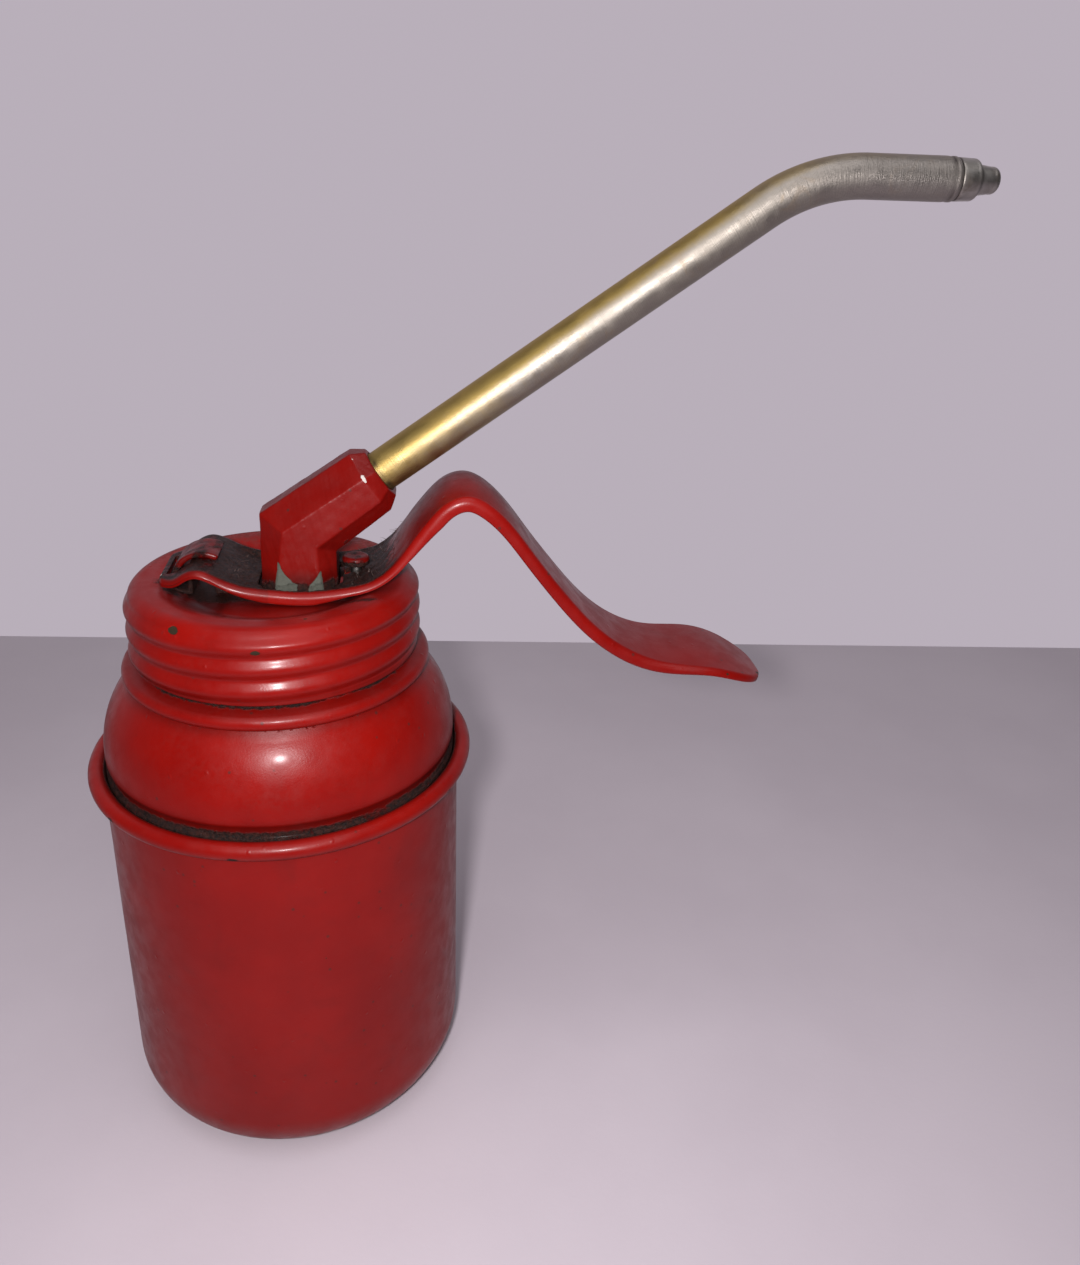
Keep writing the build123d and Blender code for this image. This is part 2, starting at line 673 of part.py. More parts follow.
with BuildPart() as inlet_seat:
    with BuildSketch(Plane.XY.offset(foot_bottom_z)):
        with Locations((plunger_x, 0)):
            Circle(chamber_r - fit / 2)
    extrude(amount=seat_z - foot_bottom_z)
    with BuildSketch(Plane.XY.offset(foot_bottom_z - 4)):
        with Locations((plunger_x, 0)):
            RegularPolygon(5.0, 6, major_radius=False)
    extrude(amount=4)
    with BuildSketch(Plane.XY.offset(foot_bottom_z - 8)):
        with Locations((plunger_x, 0)):
            Circle(3.6)
    extrude(amount=4)
    with Locations((plunger_x, 0, seat_z)):
        Hole(1.6)
    with BuildSketch(Plane.XY.offset(foot_bottom_z - 8)):
        with Locations((plunger_x, 0)):
            Circle(suction_r + fit / 2)
    extrude(amount=6, mode=Mode.SUBTRACT)
inlet_seat.part.label = "inlet_seat"

with BuildPart() as suction_tube:
    with BuildSketch(Plane.XY.offset(suction_bottom_z)):
        with Locations((plunger_x, 0)):
            Circle(suction_r)
            Circle(suction_r - 0.6, mode=Mode.SUBTRACT)
    extrude(amount=foot_bottom_z - 2 - suction_bottom_z)
suction_tube.part.label = "suction_tube"

# Perforated cup pushed on the suction tube's end.
strainer_r = 5.2
with BuildPart() as strainer:
    with BuildSketch(Plane.XY.offset(2.0)):
        with Locations((plunger_x, 0)):
            Circle(strainer_r)
    extrude(amount=8.0)
    fillet(strainer.edges().group_by(Axis.Z)[0], radius=1.2)
    with BuildSketch(Plane.XY.offset(2.5)):
        with Locations((plunger_x, 0)):
            Circle(strainer_r - 0.5)
    extrude(amount=7.0, mode=Mode.SUBTRACT)
    with BuildSketch(Plane.XY.offset(9.0)):
        with Locations((plunger_x, 0)):
            Circle(suction_r + fit / 2)
    extrude(amount=2.0, mode=Mode.SUBTRACT)
    for hole_z in (4.6, 6.6):
        with Locations(Location((plunger_x, 0, hole_z))):
            with PolarLocations(0, 6):
                Cylinder(0.5, 2 * strainer_r + 2, rotation=(0, 90, 0), mode=Mode.SUBTRACT)
strainer.part.label = "strainer"

pieces = [
    can_body, shoulder, cap, cap_gasket, hinge_bracket, lever, elbow, spout_tube, spout_nozzle,
    head_gasket, pump_locknut, outlet_seat, outlet_ball, outlet_spring, riser_tube,
    pump_barrel, barrel_head, rod_packing, barrel_nut, plunger_rod, plunger_button, cup_washer,
    plunger_cup, plunger_nut, plunger_spring, pump_foot, passage_plug, ball_stop_pin,
    inlet_ball, inlet_seat, suction_tube, strainer,
]
os.makedirs("parts", exist_ok=True)
for piece in pieces:
    export_step(piece.part, f"parts/{piece.part.label}.step")
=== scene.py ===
import bpy
import bmesh
import random
import numpy as np
from math import atan2, cos, degrees, hypot, pi, radians, sin
from mathutils import Matrix, Vector


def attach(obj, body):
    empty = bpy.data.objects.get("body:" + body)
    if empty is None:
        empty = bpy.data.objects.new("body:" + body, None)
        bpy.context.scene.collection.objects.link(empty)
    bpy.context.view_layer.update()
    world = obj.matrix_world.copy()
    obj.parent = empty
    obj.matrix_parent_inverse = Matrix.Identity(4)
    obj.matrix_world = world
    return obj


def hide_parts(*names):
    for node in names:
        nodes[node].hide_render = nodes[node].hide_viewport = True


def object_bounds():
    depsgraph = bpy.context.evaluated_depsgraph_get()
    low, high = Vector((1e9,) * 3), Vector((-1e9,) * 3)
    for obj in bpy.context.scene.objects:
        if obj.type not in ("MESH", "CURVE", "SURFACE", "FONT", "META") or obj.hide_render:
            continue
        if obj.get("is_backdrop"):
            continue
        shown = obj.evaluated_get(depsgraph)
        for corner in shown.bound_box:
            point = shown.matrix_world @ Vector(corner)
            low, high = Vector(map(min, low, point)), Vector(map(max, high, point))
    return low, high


# Looks of a thumb-lever pump oil can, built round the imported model. Lengths are in millimetres in
# the part's own frame, and become metres when a mesh is made. Camera and lights are in metres.

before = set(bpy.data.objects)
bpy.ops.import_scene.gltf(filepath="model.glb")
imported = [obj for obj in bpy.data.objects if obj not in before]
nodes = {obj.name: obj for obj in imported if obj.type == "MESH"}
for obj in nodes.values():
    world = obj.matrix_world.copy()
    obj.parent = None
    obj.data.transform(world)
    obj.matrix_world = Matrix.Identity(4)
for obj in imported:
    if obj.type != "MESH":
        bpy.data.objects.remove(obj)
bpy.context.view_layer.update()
MM = 0.001

# ---- camera
link = bpy.context.scene.collection.objects.link
camera_data = bpy.data.cameras.new("camera")
camera_data.sensor_width = 36
camera_data.lens = 29.88
camera_data.shift_y = -0.032
camera_data.clip_start = 0.01
camera_data.clip_end = 20
camera = bpy.data.objects.new("camera", camera_data)
link(camera)
pitch_down = 0.399
roll = 0.038
turned = radians(-8)
ahead = Vector((0, cos(pitch_down), -sin(pitch_down)))
side = Vector((1, 0, 0))
above = side.cross(ahead)
camera_x = side * cos(roll) + above * sin(roll)
camera_y = above * cos(roll) - side * sin(roll)
look = Matrix((camera_x, camera_y, -ahead)).transposed().to_4x4()
camera_place = Vector((0.02462, -0.19124, 0.19252))
camera.matrix_world = Matrix.Translation(camera_place) @ Matrix.Rotation(turned, 4, "Z") @ look
bpy.context.scene.camera = camera
bpy.context.scene.view_settings.view_transform = "Standard"


# ---- mesh helpers
def smooth_mesh(obj, angle=40):
    mesh = obj.data
    mesh.polygons.foreach_set("use_smooth", [True] * len(mesh.polygons))
    mesh.set_sharp_from_angle(angle=radians(angle))


def make_object(name, points, faces, angle=40):
    """Object from points in millimetres, with its normals outwards."""
    mesh = bpy.data.meshes.new(name)
    mesh.from_pydata((np.asarray(points, float) * MM).tolist(), [], faces)
    obj = bpy.data.objects.new(name, mesh)
    link(obj)
    work = bmesh.new()
    work.from_mesh(mesh)
    bmesh.ops.remove_doubles(work, verts=work.verts, dist=1e-7)
    bmesh.ops.recalc_face_normals(work, faces=work.faces)
    work.to_mesh(mesh)
    work.free()
    smooth_mesh(obj, angle)
    return obj


def grid_faces(rows, columns, close_rows, close_columns):
    faces = []
    for i in range(rows if close_rows else rows - 1):
        for j in range(columns if close_columns else columns - 1):
            a, b = i * columns + j, i * columns + (j + 1) % columns
            c, d = ((i + 1) % rows) * columns + (j + 1) % columns, ((i + 1) % rows) * columns + j
            faces.append((a, b, c, d))
    return faces


def revolve(name, profile, segments=288, shape=None, centre=(0, 0), angle=40):
    """Closed loop of (radius, height) turned about a vertical axis. shape(r, z, turn) may change it."""
    profile = np.array(profile, float)
    turns = np.linspace(0, 2 * pi, segments, endpoint=False)
    r = np.tile(profile[:, 0], (segments, 1))
    z = np.tile(profile[:, 1], (segments, 1))
    t = np.tile(turns[:, None], (1, len(profile)))
    if shape:
        r, z = shape(r, z, t)
    points = np.stack([centre[0] + r * np.cos(t), centre[1] + r * np.sin(t), z], -1).reshape(-1, 3)
    return make_object(name, points, grid_faces(segments, len(profile), True, True), angle)


def line(start, end, count):
    """Points from start towards end, without the end."""
    return [(start[0] + (end[0] - start[0]) * i / count, start[1] + (end[1] - start[1]) * i / count)
            for i in range(count)]


def arc(centre, radius, first, last, count):
    """Points on an arc, in degrees, both ends included."""
    out = []
    for i in range(count + 1):
        a = radians(first + (last - first) * i / count)
        out.append((centre[0] + radius * cos(a), centre[1] + radius * sin(a)))
    return out


def three_point(a, b, c, count):
    """Arc from a through b to c, both ends included."""
    ax, ay, bx, by, cx, cy = *a, *b, *c
    d = 2 * (ax * (by - cy) + bx * (cy - ay) + cx * (ay - by))
    a2, b2, c2 = ax * ax + ay * ay, bx * bx + by * by, cx * cx + cy * cy
    ux = (a2 * (by - cy) + b2 * (cy - ay) + c2 * (ay - by)) / d
    uy = (a2 * (cx - bx) + b2 * (ax - cx) + c2 * (bx - ax)) / d
    first, middle, last = (degrees(atan2(y - uy, x - ux)) for x, y in (a, b, c))
    up = (middle - first) % 360 <= (last - first) % 360
    last = first + ((last - first) % 360 if up else -((first - last) % 360))
    return arc((ux, uy), hypot(ax - ux, ay - uy), first, last, count)


def left_of(points, amount):
    """The open line of points moved to its left."""
    p = np.array(points, float)
    step = np.gradient(p, axis=0)
    step /= np.linalg.norm(step, axis=1)[:, None]
    return p + np.stack([-step[:, 1], step[:, 0]], 1) * amount


def waves(p, size, seed, count=9):
    """Smooth wandering value about -1 to 1, with lumps of a size in millimetres."""
    rng = np.random.default_rng(seed)
    total = 0
    for _ in range(count):
        direction = rng.normal(size=3)
        direction *= 2 * pi / (size * rng.uniform(0.7, 2.2) * np.linalg.norm(direction))
        total = total + np.sin(p @ direction + rng.uniform(0, 2 * pi))
    return total / count ** 0.5 / 1.3


def grow(value, low, high):
    """Smoothly from 0 at low to 1 at high."""
    t = np.clip((value - low) / (high - low), 0, 1)
    return t * t * (3 - 2 * t)


def fade(value, low, high):
    """Smoothly from 1 at low to 0 at high."""
    return 1 - grow(value, low, high)


def patches(p, size, seed):
    """The same wandering value, about 0 to 1."""
    return 0.5 + 0.5 * waves(p, size, seed)


def hill(value, middle, width):
    """1 where value is at middle, fading over width on both sides."""
    return np.exp(-((value - middle) / width) ** 2)


def spots(p, marks, stretch=(1, 1, 1)):
    """Round marks, each given as (x, y, z, size), 1 in the middle."""
    out = np.zeros(len(p))
    for x, y, z, size in marks:
        away = np.linalg.norm((p - (x, y, z)) * stretch, axis=1)
        out = np.maximum(out, hill(away, 0, size))
    return out


def ring_points(r, z, t):
    """Points of a turned profile, for the value of waves there."""
    return np.stack([r * np.cos(t), r * np.sin(t), z], -1)


def places(obj):
    co = np.zeros(len(obj.data.vertices) * 3)
    obj.data.vertices.foreach_get("co", co)
    return co.reshape(-1, 3) / MM


def normals(obj):
    out = np.zeros(len(obj.data.vertices) * 3)
    obj.data.vertices.foreach_get("normal", out)
    return out.reshape(-1, 3)


def move_points(obj, points):
    obj.data.vertices.foreach_set("co", (points * MM).ravel())
    obj.data.update()


def mark(obj, **marks):
    """Values from 0 to 1 on every point, by name, for the materials to read."""
    for name, values in marks.items():
        attribute = obj.data.attributes.new(name, "FLOAT", "POINT")
        attribute.data.foreach_set("value", np.clip(values, 0, 1).astype(np.float32))


def apply_modifiers(obj):
    graph = bpy.context.evaluated_depsgraph_get()
    mesh = bpy.data.meshes.new_from_object(obj.evaluated_get(graph))
    obj.modifiers.clear()
    obj.data = mesh


def copy_node(name, new_name):
    obj = bpy.data.objects.new(new_name, nodes[name].data.copy())
    obj.data.name = new_name
    obj.data.materials.clear()
    link(obj)
    for attribute in list(obj.data.attributes):
        if attribute.name == "custom_normal":
            obj.data.attributes.remove(attribute)
    work = bmesh.new()
    work.from_mesh(obj.data)
    bmesh.ops.remove_doubles(work, verts=work.verts, dist=1e-6)
    bmesh.ops.dissolve_limit(work, angle_limit=radians(1.5), verts=work.verts, edges=work.edges)
    work.to_mesh(obj.data)
    work.free()
    return obj


def soften(obj, bevel, voxel, rounds):
    """Rounds a copied node's edges and gives it a fine even mesh, as thick paint does."""
    rounder = obj.modifiers.new("edges", "BEVEL")
    rounder.width = bevel * MM
    rounder.segments = 3
    rounder.limit_method = "ANGLE"
    rounder.angle_limit = radians(20)
    even = obj.modifiers.new("even", "REMESH")
    even.mode = "VOXEL"
    even.voxel_size = voxel * MM
    relax = obj.modifiers.new("relax", "SMOOTH")
    relax.factor = 0.5
    relax.iterations = rounds
    apply_modifiers(obj)
    smooth_mesh(obj, 60)


# ---- material helpers
class Nodes:
    """Short ways to add nodes. A value is a number, a colour, a vector or another node's socket."""

    def __init__(self, tree):
        self.tree = tree

    def join(self, target, value):
        if isinstance(value, bpy.types.NodeSocket):
            self.tree.links.new(value, target)
        elif isinstance(value, tuple):
            target.default_value = (*value, 1)
        else:
            target.default_value = value

    def node(self, kind, **values):
        """New node, with its inputs filled by name."""
        node = self.tree.nodes.new("ShaderNode" + kind)
        for socket, value in values.items():
            self.join(node.inputs[socket], value)
        return node

    def calc(self, kind, a, b):
        node = self.node("Math")
        node.operation = kind
        self.join(node.inputs[0], a)
        self.join(node.inputs[1], b)
        return node.outputs[0]

    def times(self, a, b):
        return self.calc("MULTIPLY", a, b)

    def plus(self, a, b):
        return self.calc("ADD", a, b)

    def swing(self, value, amount):
        """A noise that lies about 0.5, moved to lie about 0 and scaled."""
        return self.times(self.calc("SUBTRACT", value, 0.5), amount)

    def ramp(self, value, low, high, to_low=0.0, to_high=1.0):
        node = self.node("MapRange")
        node.interpolation_type = "SMOOTHSTEP"
        for i, v in enumerate((value, low, high, to_low, to_high)):
            self.join(node.inputs[i], v)
        return node.outputs[0]

    def mix(self, share, a, b):
        node = self.node("Mix")
        node.data_type = "RGBA"
        self.join(node.inputs[0], share)
        self.join(node.inputs[6], a)
        self.join(node.inputs[7], b)
        return node.outputs[2]


class Paint(Nodes):
    """One procedural material, placed by the object's own coordinates."""

    def __init__(self, name, **plain):
        self.material = bpy.data.materials.new(name)
        self.material.use_nodes = True
        super().__init__(self.material.node_tree)
        self.shader = self.tree.nodes["Principled BSDF"]
        self.place = self.node("TexCoord").outputs["Object"]
        for socket, value in plain.items():
            self.set(socket.replace("_", " "), value)

    def set(self, socket, value):
        self.join(self.shader.inputs[socket], value)

    def attribute(self, name):
        node = self.node("Attribute")
        node.attribute_name = name
        return node.outputs["Fac"]

    def along(self, stretch, source=None):
        return self.node("Mapping", Vector=source or self.place, Scale=Vector(stretch)).outputs["Vector"]

    def noise(self, scale, detail, roughness, place=None, distortion=0.0):
        return self.node("TexNoise", Vector=place or self.place, Scale=scale, Detail=detail,
                         Roughness=roughness, Distortion=distortion).outputs["Fac"]

    def cells(self, scale, place=None):
        """Distance to, and a random value of, the nearest of many scattered points."""
        node = self.node("TexVoronoi", Vector=place or self.place, Scale=scale)
        return node.outputs["Distance"], self.node("SeparateColor", Color=node.outputs["Color"]).outputs[0]

    def bump(self, height, distance, under=None):
        """distance is in millimetres."""
        node = self.node("Bump", Height=height, Distance=distance * MM, Strength=1.0)
        if under:
            self.join(node.inputs["Normal"], under)
        return node.outputs["Normal"]


def enamel(name, deep, bright, bare):
    """Glossy enamel with orange peel, dust nibs, an oil film, grime and chips to what is under it. Its grime
    and stain masks also darken it as painted shade, and its pale mask lightens it as rubbed paint and as a
    painted highlight.
    """
    film_red, speck_brown, soak_shade_red = (0.080, 0.003, 0.002), (0.05, 0.012, 0.010), (0.030, 0.0012, 0.0009)
    dust_pink, rub_and_glint_white = (0.090, 0.032, 0.027), (0.42, 0.39, 0.36)
    black_grease_shade, brown_grease_shade = (0.004, 0.0018, 0.0015), (0.026, 0.0075, 0.005)
    p = Paint(name, Coat_Weight=0.06, Coat_Roughness=0.16, Specular_IOR_Level=0.16)

    colour = p.mix(p.ramp(p.noise(45, 5, 0.6), 0.35, 0.68), deep, bright)
    colour = p.mix(p.ramp(p.noise(110, 7, 0.62, distortion=0.8), 0.52, 0.80, 0, 0.30), colour, film_red)
    distance, chance = p.cells(520)
    specks = p.times(p.ramp(distance, 0.10, 0.22, 1, 0), p.ramp(chance, 0.91, 0.915))
    colour = p.mix(p.times(specks, 0.75), colour, speck_brown)
    distance, chance = p.cells(330, p.along((1.3, 0.9, 1.1)))
    nibs = p.times(p.ramp(distance, 0.02, 0.20, 1, 0), p.ramp(chance, 0.80, 0.805))
    grit = p.noise(900, 6, 0.72)
    # grime mask: grease, and painted shade where the masks darken creases, gaps, the feet of parts and
    # undersides
    grime = p.ramp(p.plus(p.attribute("grime"), p.swing(grit, 1.1)), 0.36, 0.62)
    # stain mask: oil soaked into the paint, and painted shade where the masks darken places beside or under
    # other parts
    soak_and_shade = p.times(p.attribute("stain"), p.ramp(p.noise(150, 6, 0.65), 0.25, 0.55, 0.65, 0.95))
    colour = p.mix(soak_and_shade, colour, soak_shade_red)
    dust = p.times(p.attribute("dust"), p.ramp(p.noise(900, 6, 0.7), 0.36, 0.62))
    colour = p.mix(p.times(dust, 0.5), colour, dust_pink)
    grease_shade = p.mix(p.ramp(p.noise(1500, 4, 0.7), 0.35, 0.65), black_grease_shade, brown_grease_shade)
    colour = p.mix(grime, colour, grease_shade)
    chip = p.ramp(p.plus(p.attribute("chip"), p.swing(p.noise(750, 5, 0.6), 0.55)), 0.46, 0.50)
    colour = p.mix(chip, colour, p.mix(p.noise(1300, 5, 0.7), bare, tuple(c * 0.45 for c in bare)))
    # pale mask: rubbed paint, and a painted highlight where it stands for a glint
    rub_and_glint = p.ramp(p.plus(p.attribute("pale"), p.swing(grit, 0.7)), 0.44, 0.50)
    p.set("Base Color", p.mix(rub_and_glint, colour, rub_and_glint_white))

    rough = p.ramp(p.noise(240, 5, 0.6), 0.3, 0.7, 0.30, 0.46)
    for layer, added in ((dust, 0.35), (grime, 0.10), (chip, 0.22)):
        rough = p.plus(rough, p.times(layer, added))
    p.set("Roughness", rough)
    normal = p.bump(p.noise(420, 2, 0.4), 0.018)
    normal = p.bump(p.noise(2900, 3, 0.65), 0.022, normal)
    normal = p.bump(nibs, 0.07, normal)
    normal = p.bump(p.times(grime, p.noise(1600, 5, 0.75)), 0.42, normal)
    p.set("Normal", p.bump(p.calc("SUBTRACT", 1.0, chip), 0.12, normal))
    return p.material


red_enamel = enamel("red_enamel", (0.150, 0.0019, 0.0010), (0.182, 0.0027, 0.0013), (0.030, 0.020, 0.010))
red_casting = enamel("red_casting", (0.118, 0.0019, 0.0011), (0.145, 0.0026, 0.0014), (0.088, 0.092, 0.074))
metal_grime = (0.03, 0.022, 0.018)


def plated_tube():
    """Nickel plate worn to brass towards the elbow and along one side, finely brushed round the tube."""
    brass, nickel = (0.37, 0.265, 0.085), (0.315, 0.286, 0.245)
    stain_brown, tarnished = (0.34, 0.25, 0.15), (0.27, 0.25, 0.24)
    p = Paint("plated_tube", Metallic=1.0, Specular_IOR_Level=0.5)
    reach = p.attribute("reach")
    unrolled = p.node("CombineXYZ", X=reach, Y=p.attribute("round")).outputs[0]
    brushed = p.noise(1.0, 4, 0.65, p.along((900, 2.0, 1), unrolled))
    worn = p.plus(p.times(reach, 1.12), p.ramp(p.attribute("upper"), 0.60, 1.0, 0.12, -0.66))
    worn = p.plus(worn, p.swing(p.noise(90, 6, 0.65), 0.55))
    worn = p.plus(worn, p.swing(brushed, 0.25))
    colour = p.mix(p.ramp(worn, 0.02, 0.62), brass, nickel)
    colour = p.mix(p.ramp(p.noise(170, 7, 0.7, distortion=1.0), 0.55, 0.75, 0, 0.5), colour, stain_brown)
    colour = p.mix(p.times(p.ramp(reach, 0.62, 0.95), 0.55), colour, tarnished)
    p.set("Base Color", p.mix(p.attribute("grime"), colour, metal_grime))
    p.set("Roughness", p.plus(p.ramp(p.noise(300, 5, 0.6), 0.3, 0.7, 0.36, 0.52), p.times(brushed, 0.10)))
    normal = p.bump(brushed, 0.060)
    normal = p.bump(p.noise(2300, 4, 0.7), 0.030, normal)
    p.set("Normal", p.bump(p.noise(260, 4, 0.6), 0.03, normal))
    return p.material


def metal(name, bright, dull, rough_low, rough_high, ring_axis="z"):
    """Machined metal with fine turned lines, stains and an uneven oil film."""
    p = Paint(name, Metallic=1.0)
    stretch = {"z": (40, 40, 2600), "x": (2600, 40, 40)}[ring_axis]
    lines = p.noise(1.0, 4, 0.6, p.along(stretch))
    stain = p.ramp(p.noise(210, 7, 0.66, distortion=0.7), 0.42, 0.72)
    colour = p.mix(stain, bright, dull)
    colour = p.mix(p.ramp(p.noise(900, 5, 0.7), 0.62, 0.75, 0, 0.6), colour, tuple(c * 0.4 for c in dull))
    p.set("Base Color", p.mix(p.attribute("grime"), colour, metal_grime))
    rough = p.ramp(p.noise(330, 5, 0.6), 0.3, 0.7, rough_low, rough_high)
    p.set("Roughness", p.plus(rough, p.times(stain, 0.10)))
    p.set("Normal", p.bump(p.noise(380, 4, 0.6), 0.03, p.bump(lines, 0.012)))
    return p.material


def soft_stuff(name, light, dark, scale, grain_depth, rough):
    """Cork, leather or felt soaked in oil."""
    p = Paint(name)
    grain = p.noise(scale, 7, 0.7, distortion=0.5)
    distance, chance = p.cells(scale * 0.8)
    colour = p.mix(p.ramp(grain, 0.3, 0.7), dark, light)
    colour = p.mix(p.times(p.ramp(chance, 0.5, 0.9), 0.4), colour, tuple(c * 0.45 for c in dark))
    p.set("Base Color", colour)
    p.set("Roughness", p.ramp(p.noise(260, 4, 0.6), 0.3, 0.7, rough - 0.14, rough + 0.1))
    p.set("Normal", p.bump(distance, grain_depth * 0.5, p.bump(grain, grain_depth)))
    return p.material


tube_metal = plated_tube()
nozzle_metal = metal("dulled_nickel", (0.42, 0.40, 0.37), (0.22, 0.19, 0.16), 0.30, 0.46, "x")
pump_brass = metal("oily_brass", (0.70, 0.50, 0.22), (0.42, 0.28, 0.12), 0.22, 0.36)
plain_steel = metal("oily_steel", (0.50, 0.49, 0.47), (0.25, 0.23, 0.21), 0.24, 0.38)
spring_steel = metal("spring_wire", (0.34, 0.34, 0.35), (0.17, 0.16, 0.16), 0.25, 0.38)
ball_steel = metal("bearing_steel", (0.66, 0.66, 0.67), (0.50, 0.49, 0.48), 0.07, 0.15)
cork = soft_stuff("oily_cork", (0.23, 0.13, 0.07), (0.10, 0.055, 0.03), 900, 0.12, 0.55)
leather = soft_stuff("oily_leather", (0.19, 0.10, 0.045), (0.09, 0.045, 0.02), 1400, 0.06, 0.42)
felt = soft_stuff("oily_felt", (0.22, 0.18, 0.13), (0.10, 0.08, 0.06), 2200, 0.10, 0.75)
lint = soft_stuff("oily_lint", (0.070, 0.036, 0.027), (0.018, 0.010, 0.008), 1800, 0.10, 0.55)


def dress(obj, material):
    obj.data.materials.clear()
    obj.data.materials.append(material)


# ---- reservoir
sheet = 0.6
body_r = 35.0
corner_r = 11.6
bead_z = 78.2
roll_r = 1.66
bead_r = body_r - sheet + roll_r

can_profile = line((0.0, 0), (body_r - corner_r, 0), 30)
can_profile += arc((body_r - corner_r, corner_r), corner_r, -90, 0, 36)
can_profile += line((body_r, corner_r + 0.7), (body_r, bead_z), 90)
can_profile += arc((bead_r, bead_z), roll_r - sheet, 180, -118, 24)
can_profile += arc((bead_r, bead_z), roll_r, -118, 180, 44)
can_profile += line((body_r - sheet, bead_z - 0.7), (body_r - sheet, corner_r), 60)
can_profile += arc((body_r - corner_r, corner_r), corner_r - sheet, 0, -90, 20)
can_profile += line((body_r - corner_r - 0.5, sheet), (0.0, sheet), 20)
can_profile += [(0.0, sheet)]


def dented_wall(r, z, t):
    """Shallow hand-worn hollows in the wall, an uneven roll and a base pressed in at its middle."""
    p = ring_points(r, z, t)
    wall = grow(z, 5, 20) * fade(z, 66, 75)
    dip = np.clip(waves(p, 26, 3), 0, 2) ** 2 * 0.07 + np.clip(waves(p, 11, 4), 0, 2) ** 2 * 0.025
    roll_edge = grow(z, bead_z - 2.2, bead_z) * (r > body_r - 1.2)
    wavy = patches(p, 20, 5) * 0.10 * roll_edge
    r = r - dip * wall - wavy
    hollow = fade(r, 17, 21) * 0.35 * (z < 3)
    return r, z + hollow


can = revolve("can_shell", can_profile, 384, dented_wall, angle=50)
p = places(can)
x, y, z = p.T
radius = np.hypot(x, y)
turn = np.degrees(np.arctan2(y, x))


def wall_spots(marks, wall_r):
    """Marks on the can's side, each given as (angle in degrees, height, size)."""
    out = np.zeros(len(p))
    for angle, height, size in marks:
        out = np.maximum(out, hill(np.hypot((turn - angle) * radians(1) * wall_r, z - height), 0, size))
    return out


# black grease and painted shade lie in the groove between the roll and the shoulder, and painted shade just
# under the roll
groove = hill(radius, 34.45, 0.42) * grow(z, bead_z - 0.4, bead_z + 0.7)
under_roll = hill(z, 76.3, 0.5) * hill(radius, 35.2, 0.6)
patchy = patches(p, 5, 11)
grime = groove * (0.62 + 0.35 * patchy) + under_roll * 0.5
grime += 0.42 * hill(z, 0, 1.3) * patchy * grow(radius, 34.2, 35.4)
roll_spots = ((-98.6, 77.4, 0.55), (-67.6, 76.6, 0.5), (-140, 78.0, 0.5), (-30, 77.5, 0.4))
# these run along the roll, so their angles count half
grime = np.maximum(grime, 0.95 * wall_spots(roll_spots, 37 * 0.5) * (radius > 36))
mark(can, grime=grime)
wear = hill(z, 0.3, 0.6) * patches(p, 4, 13) * 0.42
wall_chips = ((-118, 34, 0.35), (-75, 52, 0.28), (-60, 20, 0.3), (-101, 66, 0.25), (-40, 41, 0.3),
              (60, 30, 0.6), (120, 50, 0.5), (170, 22, 0.6), (10, 60, 0.4))
mark(can, chip=np.maximum(wear, wall_spots(wall_chips, body_r) * 0.8))
# oil soaked into the roll, darkened further as painted shade in the groove and just under the roll
stain = 0.85 * hill(radius, 34.6, 0.9) * grow(z, bead_z - 1, bead_z)
mark(can, stain=stain + 0.35 * hill(z, 76.2, 0.8))
mark(can, dust=0.12 * np.clip(patchy, 0, 1) * grow(radius, 34, 36))
dress(can, red_enamel)
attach(can, "can")
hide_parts("can_body")

# ---- shoulder and neck
pitch = 4.2
thread_phase = 104.5        # height of a thread crest at the front (-Y)


def thread(z, t):
    """Rolled thread, 0 in the root and 1 on the crest, right-handed."""
    turns = (z - thread_phase) / pitch - (np.degrees(t) - 270) / 360
    wave = 0.5 + 0.5 * np.cos(2 * pi * turns)
    return wave ** 0.8


outer = line((34.25, 71.5), (34.25, 79.3), 16)
outer += three_point((34.25, 79.3), (33.7, 80.5), (34.1, 81.9), 8)[:-1]
outer += three_point((34.1, 81.9), (33.0, 89.9), (29.5, 96.0), 44)[:-1]
outer += line((29.5, 96.0), (28.3, 97.7), 8)
outer += three_point((28.3, 97.7), (29.3, 99.3), (28.1, 100.6), 18)[:-1]
outer += line((28.1, 100.6), (26.7, 101.0), 4)
outer += three_point((26.7, 101.0), (26.2, 101.3), (25.95, 101.9), 5)[:-1]
outer += line((25.95, 101.9), (25.95, 112.4), 60)
outer += arc((25.35, 112.4), 0.6, 0, 90, 6)[:-1]
outer += line((25.35, 113.0), (21.8, 113.0), 12) + [(21.8, 113.0)]
inner = left_of(outer, sheet)[::-1]
shoulder_profile = outer + [tuple(q) for q in inner]


def worn_shoulder(r, z, t):
    """Shallow dents in the dome, and the rolled thread on the neck."""
    p = ring_points(r, z, t)
    dome = grow(z, 80, 84) * fade(z, 95, 98)
    r = r - dome * np.clip(waves(p, 18, 7), 0, 2) ** 2 * 0.12
    neck = grow(z, 102.2, 104) * fade(z, 110.2, 111.8) * (r > 24)
    return r + (thread(z, t) - 0.35) * 0.55 * neck, z


shoulder = revolve("shoulder_shell", shoulder_profile, 360, worn_shoulder, angle=40)
p = places(shoulder)
z = p[:, 2]
patchy = patches(p, 6, 21)
